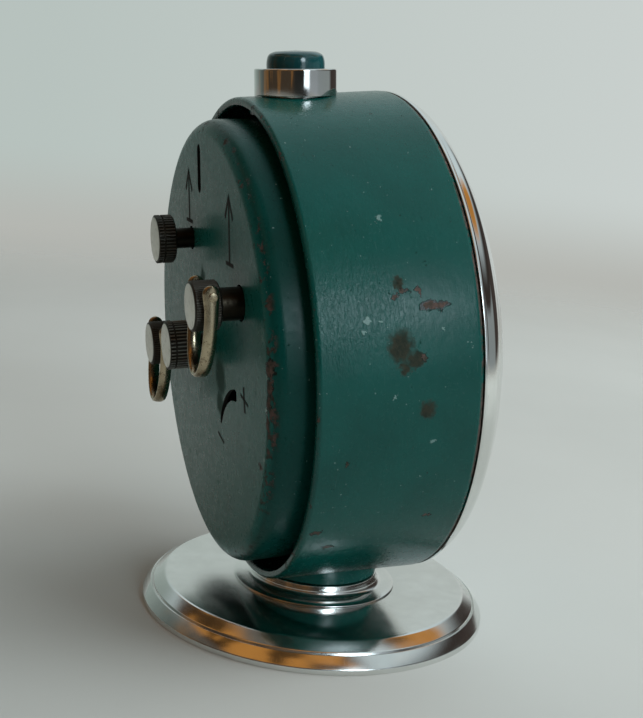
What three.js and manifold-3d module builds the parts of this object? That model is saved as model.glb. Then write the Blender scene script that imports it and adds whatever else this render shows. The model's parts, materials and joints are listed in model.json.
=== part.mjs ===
// A wind-up alarm clock: a round painted case, tipped back a little on a chrome pedestal.
//
// Millimetres. The table is z = 0 and the pedestal's axis is the world's Z axis. The dial faces -Y.
// The case and everything in it are built in the case frame: its origin is on the case's axis, level with
// the rear rim, its Y axis points out of the back and its Z axis to the button on top.

import * as THREE from 'three';
import { mergeVertices } from 'three/addons/utils/BufferGeometryUtils.js';
import Module from 'manifold-3d';

const wasm = await Module();
wasm.setup();

// Driving dimensions

const GAP = 0.3; // play between neighbouring pieces
const TILT = THREE.MathUtils.degToRad(5.7); // how far the case leans back
const CASE_ORIGIN = new THREE.Vector3(0, 19, 52.2);

const CASE = { rearRadius: 44.1, frontRadius: 45, frontY: -27.8, wall: 0.9, lip: 1.5 };
const COVER = { radius: 40.3, faceY: 6.26, shoulder: 3, sheet: 0.7, skirtY: -7 };
const BEZEL = { radius: 44.95, lipRadius: 38.4, lipY: -33.9 };
const CRYSTAL = { radius: 38, rimY: -31.9, apexY: -39.3, thickness: 1.2 };
const DIAL = { radius: 43.2, y: -27.2, thickness: 0.6, hole: 3.8, footRadius: 1, footCircle: 34 };

const COLLAR = { y: -10.9, radius: 7.5, bore: 5.6, sleeve: 6.2, topZ: 49, floorZ: 40.8, floor: 0.8 };
const COLLAR_NUT = { height: 1.4, wall: 1.7, sides: 18 };
const BUTTON = { radius: 5.25, topZ: 52.2, underZ: 47, stem: 1.5, stemZ: 37.6, round: 1.3 };
const BUTTON_SPRING = { radius: 3, wire: 0.35, turns: 3.5, stepsPerTurn: 10 };

const BASE = {
  radius: 33.5,
  rimZ: 1,
  grooveRadius: 31.7,
  grooveZ: 3.3,
  shoulderRadius: 29.4,
  topZ: 4.9,
  sheet: 0.8,
  screwHole: 3.2,
};
const FOOT_PAD = 0.6; // thickness
const NECK = { radius: 12.2, flangeRadius: 15.9, topZ: 7.6, fillet: 1.1 };
const BOSS = { radius: 12, fromZ: 7.8, topZ: 13 };
const PEDESTAL_SCREW = { headRadius: 5, headHeight: 1.4, shank: 2.6, tipZ: 13.8 };
const PEDESTAL_NUT = { radius: 5, fromZ: 11.2, toZ: 13.2 };

const TIME_KEY = { x: -22.5, z: 11.5, headRear: 14.8 };
const ALARM_KEY = { x: 18.5, z: -3.6, headRear: 13.6 };
const KEY = { headRadius: 4.2, headLength: 4.7, hubRadius: 2.8, arborRadius: 1.6, chamfer: 0.3, socket: 1.5 };
const BAIL = {
  pivotZ: 2.3,
  halfWidth: 5.6,
  strip: 0.95,
  width: 2.25,
  bottomZ: -12.1,
  endZ: 1.5,
  pin: 0.55,
  pinLength: 2.2,
};
const SET_KNOB = { x: 0, z: 0, radius: 4.4, rearY: 14.25, length: 5.4 };
const ALARM_KNOB = { x: 11, z: 17.9, radius: 4.5, rearY: 13.4, length: 3.4 };
const KNOB = { shaft: 1.9, teeth: 26, ridge: 0.22, band: 0.9, bandGap: 0.35, rim: 0.2, socket: 1.5 };
const ARBOR = { radius: 1.2, pivot: 0.7 };

// The three pipes that carry the hands, one inside the next. Their pinion or wheel is in the tables below.
const CANNON_PIPE = { radius: 1.75, frontY: -31.4, rearY: -22.5 };
const HOUR_PIPE = { radius: 2.5, frontY: -30.2 };
const ALARM_PIPE = { radius: 3.3, frontY: -29 };
const CENTRE_ARBOR_FRONT = -31.9;
const ALARM_ARBOR_FRONT = -26.6;

const HAND = {
  alarm: { y: -28.9, boss: 4.6, pipe: ALARM_PIPE, length: 17, width: 1.6 },
  hour: { y: -30.1, boss: 3.7, pipe: HOUR_PIPE, length: 21, width: 2.6 },
  minute: { y: -31.3, boss: 2.9, pipe: CANNON_PIPE, length: 31, width: 2 },
};
const HAND_SHEET = 0.3;

const FRONT_PLATE = { radius: 43.1, y: -20.9, thickness: 1.2, flatZ: -39.5 };
const BACK_PLATE = { radius: 39.2, y: -6.5, thickness: 1.2, flatZ: -37.5 };
const PILLARS = [[-6, 31], [-35, -6], [12, -33], [20, 28]];
const PILLAR = { radius: 1.8, stud: 1, studRear: -4.2, nut: 2.4, nutHeight: 1.5 };

// Arbors of the two trains, as [x, z] on the plates
const INTERMEDIATE = [-11, -1];
const THIRD = [-3, -11.4];
const FOURTH = [5, -18];
const ESCAPE = [-2.5, -22.4];
const PALLET = [-8.9, -20.8];
const BALANCE = [-20, -18];
const MINUTE_WHEEL = [6.1, 6.1];
const ALARM_ESCAPE = [27.5, 3.3];
const HAMMER = [30.5, 11.5];
const STOP_LEVER = [12, 33];

// Wheels and pinions: each disc starts at y and is this thick towards +Y
const WHEEL = {
  timeGreat: { radius: 13, teeth: 42, depth: 0.7, y: -11.9, thickness: 1 },
  alarmGreat: { radius: 9, teeth: 36, depth: 0.7, y: -11.9, thickness: 1 },
  intermediate: { radius: 8, teeth: 36, depth: 0.6, y: -9.6, thickness: 0.8 },
  centre: { radius: 9.5, teeth: 38, depth: 0.6, y: -16.8, thickness: 0.8 },
  third: { radius: 8, teeth: 32, depth: 0.6, y: -13.6, thickness: 0.8 },
  fourth: { radius: 6.8, teeth: 34, depth: 0.6, y: -17, thickness: 0.8 },
  escape: { radius: 5, teeth: 15, depth: 1.4, lean: 1.6, y: -11.4, thickness: 0.6 },
  alarmEscape: { radius: 7, teeth: 20, depth: 0.6, y: -9.6, thickness: 0.8 },
  minute: { radius: 6.2, teeth: 36, depth: 0.5, y: -23.1, thickness: 0.8 },
  hour: { radius: 6.75, teeth: 32, depth: 0.5, y: -25.3, thickness: 0.6 },
  alarm: { radius: 16.6, teeth: 64, depth: 0.5, y: -26.2, thickness: 0.6 },
};
const PINION = {
  intermediate: { radius: 3.7, teeth: 12, depth: 0.6, y: -12.1, thickness: 1.4 },
  centre: { radius: 2.7, teeth: 12, depth: 0.5, y: -10.2, thickness: 2 },
  third: { radius: 2, teeth: 8, depth: 0.6, y: -17, thickness: 1.2 },
  fourth: { radius: 2, teeth: 8, depth: 0.6, y: -13.8, thickness: 1.2 },
  escape: { radius: 1.6, teeth: 8, depth: 0.4, y: -17.2, thickness: 1.2 },
  alarmEscape: { radius: 2, teeth: 8, depth: 0.6, y: -12.1, thickness: 1.4 },
  cannon: { radius: 2.15, teeth: 12, depth: 0.3, y: -23.2, thickness: 1 },
  minute: { radius: 1.6, teeth: 8, depth: 0.4, y: -25.3, thickness: 2.4 },
  alarmSet: { radius: 4.1, teeth: 16, depth: 0.5, y: -26.3, thickness: 0.8 },
};
const CENTRE_TUBE = { radius: 2, frontY: -19.4, rearY: -7 };

// Spiral springs: from and to are radii
const TIME_SPRING = { from: 2.2, to: 11.6, turns: 5, strip: 0.5, y: -18.6, width: 6 };
const ALARM_SPRING = { from: 2.2, to: 8, turns: 4, strip: 0.5, y: -18.6, width: 6 };
const HAIRSPRING = { from: 1.1, to: 4.6, turns: 4, strip: 0.25, y: -8.3, width: 0.6 };

const PALLET_LEVER = { y: -11.4, thickness: 0.6, hub: 1.1, fork: 8.6, forkHalf: 0.8, arm: 4.2, rootHalf: 0.6 };
const BALANCE_WHEEL = { rim: 9, rimInner: 7.9, frontY: -9.9, rearY: -8.9, spoke: 0.6, spokeWidth: 0.9 };
const ROLLER = { radius: 2, frontY: -11.6, rearY: -10.6 };
const REGULATOR = { reach: 12.7, restAngle: 50, slotFrom: 23, slotTo: 87, headWidth: 2.2, tailWidth: 1.2 };
const REGULATOR_LEVER = { thickness: 0.6, rootHalf: 0.9, tipHalf: 0.8, eye: 2.6, pin: 0.6 };
const HAMMER_LEVER = {
  thickness: 0.8,
  half: 0.6,
  hub: 1.4,
  hubHeight: 1.2,
  head: [26, 25],
  headRadius: 2,
  headY: 0.5,
};
const SOUND_SLOT = { x: 4.1, fromZ: 27, toZ: 35.8, width: 2.3 };

// Facets round a full circle
const ROUND = { large: 44, middle: 24, small: 12, pin: 8, nut: 6 };

const rad = THREE.MathUtils.degToRad;

// Materials

function material(color, roughness, metalness) {
  return new THREE.MeshStandardMaterial({ color, roughness, metalness });
}

const enamel = material(0x1d5658, 0.35, 0.1);
const chrome = material(0xc9c9c6, 0.12, 1);
const glass = material(0xe8f0f0, 0.05, 0);
const nickel = material(0xa89d88, 0.35, 1);
const brass = material(0xb08d4c, 0.35, 1);
const steel = material(0x85888c, 0.3, 1);
const blued = material(0x24304c, 0.3, 1);
const plastic = material(0x1c4c50, 0.25, 0);
const dialPaint = material(0xe9e4d6, 0.6, 0);
const handPaint = material(0x15171a, 0.45, 0.2);
const alarmPaint = material(0xa32a22, 0.45, 0.2);
const felt = material(0x25332c, 0.95, 0);

// Solids

function toSolid(geometry) {
  const bare = geometry.clone();
  bare.deleteAttribute('normal');
  bare.deleteAttribute('uv');
  const merged = mergeVertices(bare);
  return new wasm.Manifold(new wasm.Mesh({
    numProp: 3,
    vertProperties: new Float32Array(merged.attributes.position.array),
    triVerts: new Uint32Array(merged.index.array),
  }));
}

function toGeometry(solid) {
  const mesh = solid.getMesh();
  const geometry = new THREE.BufferGeometry();
  geometry.setAttribute('position', new THREE.BufferAttribute(new Float32Array(mesh.vertProperties), 3));
  geometry.setIndex(new THREE.BufferAttribute(new Uint32Array(mesh.triVerts), 1));
  geometry.computeVertexNormals();
  return geometry;
}

function join(...geometries) {
  return toGeometry(geometries.map(toSolid).reduce((whole, next) => whole.add(next)));
}

function cut(geometry, ...tools) {
  return toGeometry(tools.map(toSolid).reduce((whole, next) => whole.subtract(next), toSolid(geometry)));
}

// A turned solid about the Y axis. Its outline is a list of [radius, y], closed on itself or ending on
// the axis.
function turned(outline, segments = ROUND.large) {
  const points = outline.map(([radius, y]) => new THREE.Vector2(radius, y));
  if (THREE.ShapeUtils.area(points) < 0) points.reverse();
  const onAxis = points.some((point) => point.x === 0);
  if (onAxis) {
    while (!(points[0].x === 0 && points[points.length - 1].x === 0)) points.push(points.shift());
  } else {
    points.push(points[0].clone());
  }
  return new THREE.LatheGeometry(points, segments);
}

// The same about the Z axis, with an outline of [radius, z]
function turnedUpright(outline, segments = ROUND.large) {
  return turned(outline, segments).rotateX(Math.PI / 2);
}

function rod(radius, fromY, toY, [x, z] = [0, 0], segments = ROUND.small) {
  return new THREE.CylinderGeometry(radius, radius, toY - fromY, segments).translate(x, (fromY + toY) / 2, z);
}

function uprightRod(radius, fromZ, toZ, y, segments = ROUND.small) {
  return rod(radius, fromZ, toZ, [0, 0], segments).rotateX(Math.PI / 2).translate(0, y, 0);
}

// A flat shape drawn in x and z, from fromY on by its thickness towards +Y
function slab(shape, fromY, thickness) {
  const options = { depth: thickness, bevelEnabled: false, curveSegments: ROUND.pin };
  return new THREE.ExtrudeGeometry(shape, options).rotateX(Math.PI / 2).translate(0, fromY + thickness, 0);
}

function polar(radius, angle, [x, z] = [0, 0]) {
  return [x + radius * Math.cos(angle), z + radius * Math.sin(angle)];
}

function axisOf({ x, z }) {
  return [x, z];
}

function outlineShape(points) {
  return new THREE.Shape(points.map(([x, z]) => new THREE.Vector2(x, z)));
}

function arcPoints(radius, from, to, steps, centre = [0, 0]) {
  return Array.from({ length: steps + 1 }, (_, i) => polar(radius, from + (to - from) * (i / steps), centre));
}

function roundShape(radius, segments, centre = [0, 0]) {
  return outlineShape(arcPoints(radius, 0, 2 * Math.PI * (1 - 1 / segments), segments - 1, centre));
}

function withHoles(shape, holes) {
  for (const [x, z, radius] of holes) shape.holes.push(roundShape(radius, ROUND.pin, [x, z]));
  return shape;
}

function toothedShape({ radius, teeth, depth, lean = 0 }, centre = [0, 0]) {
  const pitch = Math.PI / teeth;
  const points = Array.from({ length: teeth }, (_, i) => [
    polar(radius, 2 * i * pitch + lean * pitch, centre),
    polar(radius - depth, (2 * i + 1) * pitch, centre),
  ]);
  return outlineShape(points.flat());
}

function toothed(size, centre) {
  return slab(toothedShape(size, centre), size.y, size.thickness);
}

// A toothed wheel on an arbor that runs in both plates, with its pinion
function trainWheel(centre, wheel, pinion) {
  return join(toothed(wheel, centre), toothed(pinion, centre), plateArbor(centre));
}

function plateArbor(centre) {
  const front = FRONT_PLATE.y + GAP;
  const back = BACK_PLATE.y + BACK_PLATE.thickness - GAP;
  return rod(ARBOR.pivot, front, back, centre, ROUND.pin);
}

// Case, cover and front

function caseRadiusAt(y) {
  return THREE.MathUtils.mapLinear(y, 0, CASE.frontY, CASE.rearRadius, CASE.frontRadius);
}

function caseDrum() {
  const { rearRadius, frontRadius, frontY, wall, lip } = CASE;
  const edge = 0.4;
  const shell = turned([
    [rearRadius - lip, -edge],
    [rearRadius - lip + edge, 0],
    [rearRadius - edge, 0],
    [rearRadius, -edge],
    [frontRadius, frontY + 2 * edge],
    [frontRadius - edge, frontY],
    [frontRadius - wall - edge, frontY],
    [rearRadius - wall, -5 * edge],
    [rearRadius - lip, -4 * edge],
  ]);
  const inner = rearRadius - 10;
  const outer = frontRadius + 5;
  const buttonHole = uprightRod(COLLAR.sleeve + GAP, inner, outer, COLLAR.y, ROUND.middle);
  const screwHole = uprightRod(BASE.screwHole, -outer, -inner, pedestalY(), ROUND.small);
  return cut(shell, buttonHole, screwHole);
}

// Where the pedestal's axis crosses the case wall, in the case frame
function pedestalY() {
  return CASE.frontRadius * Math.tan(TILT) - CASE_ORIGIN.y / Math.cos(TILT);
}

function rearCover() {
  const { radius, faceY, shoulder, sheet, skirtY } = COVER;
  const bend = [radius - shoulder, faceY - shoulder];
  const outside = arcPoints(shoulder, Math.PI / 2, 0, 4, bend);
  const inside = arcPoints(shoulder - sheet, 0, Math.PI / 2, 3, bend);
  const pan = turned([
    [0, faceY], ...outside, [radius, skirtY], [radius - sheet, skirtY], ...inside, [0, faceY - sheet],
  ]);
  const underFace = faceY - 2;
  const depth = 3;
  const through = (hole, place) => rod(hole + GAP, underFace, underFace + depth, axisOf(place), ROUND.small);
  return cut(
    pan,
    through(KEY.hubRadius, TIME_KEY),
    through(KEY.hubRadius, ALARM_KEY),
    through(KNOB.shaft, SET_KNOB),
    through(KNOB.shaft, ALARM_KNOB),
    slab(soundSlot(), underFace, depth),
    slab(regulatorSlot(), underFace, depth),
  );
}

function soundSlot() {
  const { x, fromZ, toZ, width } = SOUND_SLOT;
  const half = width / 2;
  const top = arcPoints(half, 0, Math.PI, 4, [x, toZ - half]);
  const bottom = arcPoints(half, Math.PI, 2 * Math.PI, 4, [x, fromZ + half]);
  return outlineShape([...top, ...bottom]);
}

// A curved slot about the balance staff, wide at one end and narrow at the other
function regulatorSlot() {
  const { reach, slotFrom, slotTo, headWidth, tailWidth } = REGULATOR;
  const steps = 8;
  const side = (sign) => Array.from({ length: steps + 1 }, (_, i) => {
    const share = i / steps;
    const width = THREE.MathUtils.lerp(tailWidth, headWidth, share ** 2);
    return polar(reach + sign * width / 2, rad(THREE.MathUtils.lerp(slotFrom, slotTo, share)), BALANCE);
  });
  return outlineShape([...side(1), ...side(-1).reverse()]);
}

function frontBezel() {
  const { radius, lipRadius, lipY } = BEZEL;
  const rear = CASE.frontY - GAP;
  return turned([
    [radius - 2.4, rear],
    [radius, rear],
    [radius, rear - 0.6],
    [radius - 0.6, rear - 0.9],
    [radius - 0.9, rear - 2.1],
    [radius - 2, rear - 3.5],
    [radius - 3.9, rear - 4.6],
    [lipRadius + 0.6, lipY],
    [lipRadius, lipY + 0.3],
    [lipRadius, lipY + 1.2],
    [radius - 2.9, rear - 2],
  ]);
}

// Holds the crystal against the bezel's lip and frames the dial
function crystalRing() {
  const front = CRYSTAL.rimY + GAP;
  const rear = CASE.frontY - GAP;
  return turned([[36.9, front], [39.3, front], [41.5, front + 1.5], [41.5, rear], [40.4, rear]]);
}

function crystal() {
  const { radius, rimY, apexY, thickness } = CRYSTAL;
  return turned([
    [0, apexY], [16, apexY + 0.5], [28, apexY + 1.6], [34, apexY + 2.7], [36.8, apexY + 4.3],
    [radius, apexY + 6.4], [radius, rimY], [radius - thickness, rimY], [radius - thickness, apexY + 6.2],
    [34, apexY + 4.1], [26, apexY + 2.7], [0, apexY + thickness],
  ]);
}

function dial() {
  const { radius, y, thickness, hole, footRadius, footCircle } = DIAL;
  const disc = slab(withHoles(roundShape(radius, ROUND.large), [[0, 0, hole]]), y - thickness, thickness);
  const feet = [90, 210, 330].map((angle) => {
    const place = polar(footCircle, rad(angle));
    return rod(footRadius, y - thickness / 2, FRONT_PLATE.y - GAP, place, ROUND.pin);
  });
  return join(disc, ...feet);
}

// A hand points up from the case's axis. It has a round boss with a hole for its pipe.
function hand({ y, boss, pipe, length, width }) {
  const root = Math.asin(width / 2 / boss);
  const widest = 0.9 * width;
  const neckZ = 0.3 * length;
  const widestZ = 0.55 * length;
  const shape = outlineShape([
    ...arcPoints(boss, Math.PI / 2 + root, 2.5 * Math.PI - root, 18),
    [width / 2, neckZ],
    [widest, widestZ],
    [0, length],
    [-widest, widestZ],
    [-width / 2, neckZ],
  ]);
  return slab(withHoles(shape, [[0, 0, pipe.radius + GAP]]), y, HAND_SHEET);
}

// Button on top

function buttonCollar() {
  const { y, radius, bore, sleeve, topZ, floorZ, floor } = COLLAR;
  const stemHole = BUTTON.stem + GAP;
  const seat = caseRadiusAt(y) + GAP;
  const flange = turnedUpright([
    [bore, seat - 2], [radius, seat - 2], [radius, topZ - 0.5], [radius - 0.5, topZ], [bore + 0.3, topZ],
    [bore, topZ - 0.3],
  ], ROUND.middle).translate(0, y, 0);
  const saddle = rod(seat, y - 12, y + 12, [0, 0], 2 * ROUND.large);
  const tube = turnedUpright([
    [stemHole, floorZ], [sleeve, floorZ], [sleeve, seat + 1], [bore, seat + 1], [bore, floorZ + floor],
    [stemHole, floorZ + floor],
  ], ROUND.middle).translate(0, y, 0);
  return join(cut(flange, saddle), tube);
}

function collarNut() {
  const { y, sleeve, floorZ } = COLLAR;
  const { height, wall, sides } = COLLAR_NUT;
  const hole = sleeve + GAP;
  const outer = hole + wall;
  const under = floorZ + 0.2;
  const top = under + height;
  return turnedUpright([[hole, under], [outer, under], [outer, top], [hole, top]], sides).translate(0, y, 0);
}

function topButton() {
  const { radius, topZ, underZ, stem, stemZ, round } = BUTTON;
  const shoulder = arcPoints(round, 0, Math.PI / 2, 4, [radius - round, topZ - round - 0.1]);
  const cap = turnedUpright([[0, underZ], [radius, underZ], ...shoulder, [0, topZ]], ROUND.middle);
  return join(cap.translate(0, COLLAR.y, 0), uprightRod(stem, stemZ, underZ + 1, COLLAR.y, ROUND.pin));
}

class Helix extends THREE.Curve {
  constructor(radius, fromZ, toZ, turns) {
    super();
    Object.assign(this, { radius, fromZ, toZ, turns });
  }

  getPoint(share) {
    const [x, y] = polar(this.radius, 2 * Math.PI * this.turns * share);
    return new THREE.Vector3(x, y + COLLAR.y, THREE.MathUtils.lerp(this.fromZ, this.toZ, share));
  }
}

function buttonSpring() {
  const { radius, wire, turns, stepsPerTurn } = BUTTON_SPRING;
  const clearance = wire + GAP;
  const path = new Helix(radius, COLLAR.floorZ + COLLAR.floor + clearance, BUTTON.underZ - clearance, turns);
  return new THREE.ExtrudeGeometry(roundShape(wire, 6), { steps: turns * stepsPerTurn, extrudePath: path });
}

// Pedestal, in the world frame

function baseDisc() {
  const { radius, rimZ, grooveRadius, grooveZ, shoulderRadius, topZ, sheet, screwHole } = BASE;
  return turnedUpright([
    [radius - sheet, 0],
    [radius, 0],
    [radius, rimZ],
    [grooveRadius + 0.15, grooveZ],
    [grooveRadius, grooveZ - 0.15],
    [grooveRadius - 0.25, grooveZ + 0.1],
    [shoulderRadius + 0.2, topZ - 0.15],
    [shoulderRadius - 0.2, topZ],
    [screwHole, topZ],
    [screwHole, topZ - sheet],
    [shoulderRadius - sheet, topZ - sheet],
    [grooveRadius - 1.4 * sheet, grooveZ - sheet],
    [radius - sheet, rimZ - 0.3],
  ]);
}

function footPad() {
  const radius = BASE.radius - BASE.sheet - GAP;
  return turnedUpright([[0, 0], [radius, 0], [radius, FOOT_PAD], [0, FOOT_PAD]]);
}

function pedestalNeck() {
  const { radius, flangeRadius, topZ, fillet } = NECK;
  const under = BASE.topZ + GAP;
  const flangeTop = under + 0.2;
  const flare = arcPoints(fillet, 1.5 * Math.PI, Math.PI, 4, [radius + fillet, flangeTop + fillet]);
  return turnedUpright([
    [BASE.screwHole, under], [flangeRadius, under], [flangeRadius - 0.3, flangeTop], ...flare,
    [radius, topZ], [BASE.screwHole, topZ],
  ]);
}

// The painted spacer between neck and case, hollowed to the case's wall
function caseBoss() {
  const { radius, fromZ, topZ } = BOSS;
  const hole = BASE.screwHole;
  const body = turnedUpright([[hole, fromZ], [radius, fromZ], [radius, topZ], [hole, topZ]]);
  const wallRadius = (y) => caseRadiusAt(y) + GAP;
  const rearY = 5;
  const frontY = -35;
  const caseSpace = turned([
    [0, rearY], [wallRadius(rearY), rearY], [wallRadius(frontY), frontY], [0, frontY],
  ], 2 * ROUND.large);
  caseSpace.rotateX(-TILT).translate(...CASE_ORIGIN.toArray());
  return cut(body, caseSpace);
}

function pedestalScrew() {
  const { headRadius, headHeight, shank, tipZ } = PEDESTAL_SCREW;
  const head = BASE.topZ - BASE.sheet - GAP;
  return join(
    uprightRod(headRadius, head - headHeight, head, 0, ROUND.small),
    uprightRod(shank, head - headHeight / 2, tipZ, 0, ROUND.small),
  );
}

function pedestalNut() {
  const { radius, fromZ, toZ } = PEDESTAL_NUT;
  const bore = PEDESTAL_SCREW.shank + GAP;
  return turnedUpright([[bore, fromZ], [radius, fromZ], [radius, toZ], [bore, toZ]], ROUND.small);
}

// Keys and knobs, each about its own axis, with y measured in the case frame

function windingKey(place) {
  const { headRadius, headLength, hubRadius, arborRadius, chamfer, socket } = KEY;
  const { x, z, headRear } = place;
  const hubFront = COVER.faceY - 1;
  const front = headRear - headLength;
  const bore = arborRadius + GAP;
  const body = turned([
    [bore, hubFront],
    [hubRadius, hubFront],
    [hubRadius, front],
    [headRadius - chamfer, front],
    [headRadius, front + chamfer],
    [headRadius, headRear - chamfer],
    [headRadius - chamfer, headRear],
    [0, headRear],
    [0, front + socket + GAP],
    [bore, front + socket + GAP],
  ], ROUND.middle);
  const holeDepth = 3;
  const pinHole = crossRod(BAIL.pin + GAP, holeDepth);
  const holes = [-1, 1].map((side) => (
    pinHole.clone().translate(side * (headRadius - 0.5), bailPivotY(place), BAIL.pivotZ)
  ));
  return cut(body, ...holes).translate(x, 0, z);
}

// A short rod that lies along X
function crossRod(radius, length) {
  return new THREE.CylinderGeometry(radius, radius, length, ROUND.pin).rotateZ(Math.PI / 2);
}

function bailPivotY({ headRear }) {
  return headRear - KEY.headLength / 2 - 0.3;
}

// A strip bent into a U. Its ends carry inward pins. The origin is the pivot and it hangs down.
function bail() {
  const { halfWidth, strip, width, bottomZ, pivotZ, endZ, pin, pinLength } = BAIL;
  const bendZ = bottomZ + halfWidth - pivotZ;
  const inner = halfWidth - strip;
  const outside = arcPoints(halfWidth, Math.PI, 2 * Math.PI, 14, [0, bendZ]);
  const inside = arcPoints(inner, 2 * Math.PI, Math.PI, 12, [0, bendZ]);
  const strap = slab(outlineShape([
    [-inner - 0.3, endZ],
    [-halfWidth + 0.2, endZ - 0.4],
    ...outside,
    [halfWidth - 0.2, endZ - 0.4],
    [inner + 0.3, endZ],
    [inner, endZ - 0.3],
    ...inside,
    [-inner, endZ - 0.3],
  ]), -width / 2, width);
  const stub = crossRod(pin, pinLength);
  const stubs = [-1, 1].map((side) => stub.clone().translate(side * (inner - 0.7), 0, 0));
  return join(strap, ...stubs);
}

function windingArbor(place) {
  const tip = place.headRear - KEY.headLength + KEY.socket;
  return rod(KEY.arborRadius, FRONT_PLATE.y + GAP, tip, axisOf(place), ROUND.small);
}

function knob(place) {
  const { x, z, radius, rearY, length } = place;
  const { shaft, teeth, ridge, band, bandGap, rim, socket } = KNOB;
  const frontY = rearY - length;
  const bandY = rearY - rim - band;
  const ridges = toothedShape({ radius, teeth, depth: ridge });
  const body = join(
    rod(radius - GAP, frontY, rearY, [0, 0], ROUND.middle),
    slab(ridges, frontY, bandY - bandGap - frontY),
    slab(ridges, bandY, band),
    rod(shaft, COVER.faceY - 1, frontY + 0.5, [0, 0], ROUND.small),
  );
  const bore = rod(ARBOR.radius + GAP, COVER.faceY - 2, rearY - socket, [0, 0], ROUND.pin);
  return cut(body, bore).translate(x, 0, z);
}

function centreArbor() {
  return rod(ARBOR.radius, CENTRE_ARBOR_FRONT, SET_KNOB.rearY - KNOB.socket - GAP, [0, 0], ROUND.pin);
}

// Opens a pipe or tube on the case's axis from end to end
function bored(solid, radius) {
  return cut(solid, rod(radius, CRYSTAL.apexY, COVER.faceY, [0, 0], ROUND.small));
}

// The cannon pinion grips the centre arbor by friction, so it has less play than the rest
function cannonPinion() {
  const { radius, frontY, rearY } = CANNON_PIPE;
  const play = 0.2;
  const pipe = rod(radius, frontY, rearY, [0, 0], ROUND.small);
  return bored(join(toothed(PINION.cannon), pipe), ARBOR.radius + play);
}

function alarmArbor() {
  const centre = axisOf(ALARM_KNOB);
  const rearY = ALARM_KNOB.rearY - KNOB.socket - GAP;
  return join(rod(ARBOR.radius, ALARM_ARBOR_FRONT, rearY, centre, ROUND.pin), toothed(PINION.alarmSet, centre));
}

// Movement plates

const plateHoles = [
  [...axisOf(TIME_KEY), KEY.arborRadius + GAP],
  [...axisOf(ALARM_KEY), KEY.arborRadius + GAP],
  [...axisOf(SET_KNOB), ARBOR.radius + GAP],
  [...axisOf(ALARM_KNOB), ARBOR.radius + GAP],
  ...[INTERMEDIATE, THIRD, FOURTH, ESCAPE, PALLET, BALANCE, ALARM_ESCAPE, HAMMER, STOP_LEVER]
    .map((centre) => [...centre, ARBOR.pivot + GAP]),
  ...PILLARS.map((centre) => [...centre, PILLAR.stud + GAP]),
];

// A round plate with a flat along the bottom
function plateShape({ radius, flatZ }) {
  const start = Math.asin(flatZ / radius);
  return outlineShape(arcPoints(radius, start, Math.PI - start, ROUND.large - 12));
}

function movementPlate(plate) {
  return slab(withHoles(plateShape(plate), plateHoles), plate.y, plate.thickness);
}

function pillar(centre) {
  const front = FRONT_PLATE.y + FRONT_PLATE.thickness;
  return join(
    rod(PILLAR.radius, front + GAP, BACK_PLATE.y - GAP, centre, ROUND.pin),
    rod(PILLAR.stud, FRONT_PLATE.y, PILLAR.studRear, centre, ROUND.pin),
  );
}

// The face of the back plate that carries the regulator, the hammer and the pillar nuts
function overBackPlate() {
  return BACK_PLATE.y + BACK_PLATE.thickness + GAP;
}

function pillarNut([x, z]) {
  const { stud, nut, nutHeight } = PILLAR;
  const bore = stud + GAP;
  const fromY = overBackPlate();
  const toY = fromY + nutHeight;
  return turned([[bore, fromY], [nut, fromY], [nut, toY], [bore, toY]], ROUND.nut).translate(x, 0, z);
}

// Springs and wheels

function greatWheel(place, size) {
  const centre = axisOf(place);
  const ring = withHoles(toothedShape(size, centre), [[...centre, KEY.arborRadius + GAP]]);
  return slab(ring, size.y, size.thickness);
}

// A flat strip wound into a spiral about the Y axis
function spiral(centre, { from, to, turns, strip, y, width }) {
  const steps = turns * ROUND.small;
  const side = (offset) => Array.from({ length: steps + 1 }, (_, i) => {
    const share = i / steps;
    return polar(THREE.MathUtils.lerp(from, to, share) + offset, 2 * Math.PI * turns * share, centre);
  });
  return slab(outlineShape([...side(strip), ...side(0).reverse()]), y, width);
}

function centreWheel() {
  const { radius, frontY, rearY } = CENTRE_TUBE;
  const tube = rod(radius, frontY, rearY, [0, 0], ROUND.small);
  return bored(join(toothed(WHEEL.centre), toothed(PINION.centre), tube), ARBOR.radius + GAP);
}

function minuteWheel() {
  const stud = rod(ARBOR.pivot, PINION.minute.y + 0.1, FRONT_PLATE.y - GAP, MINUTE_WHEEL, ROUND.pin);
  return join(stud, toothed(WHEEL.minute, MINUTE_WHEEL), toothed(PINION.minute, MINUTE_WHEEL));
}

function pipedWheel(size, pipe, inner) {
  const tube = rod(pipe.radius, pipe.frontY, size.y + size.thickness / 2, [0, 0], ROUND.small);
  return bored(join(toothed(size), tube), inner.radius + GAP);
}

// A bar from one centre to another, with its own half width at each end
function barShape(from, to, fromHalf, toHalf = fromHalf) {
  const angle = Math.atan2(to[1] - from[1], to[0] - from[0]);
  const side = (centre, half, sign) => polar(half, angle + (sign * Math.PI) / 2, centre);
  return outlineShape([
    side(from, fromHalf, -1), side(to, toHalf, -1), side(to, toHalf, 1), side(from, fromHalf, 1),
  ]);
}

// The lever's fork reaches to the balance roller, and its two arms straddle the escape wheel
function palletLever() {
  const { y, thickness, hub, fork, forkHalf, arm, rootHalf } = PALLET_LEVER;
  const toBalance = Math.atan2(BALANCE[1] - PALLET[1], BALANCE[0] - PALLET[0]);
  const bar = (length, angle, tipHalf) => (
    slab(barShape(PALLET, polar(length, angle, PALLET), rootHalf, tipHalf), y, thickness)
  );
  const pointed = 0.05;
  return join(
    bar(fork, toBalance, forkHalf),
    bar(arm, toBalance + rad(110), pointed),
    bar(arm, toBalance - rad(110), pointed),
    rod(hub, y - 0.4, y + 1, PALLET, ROUND.pin),
    plateArbor(PALLET),
  );
}

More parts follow.
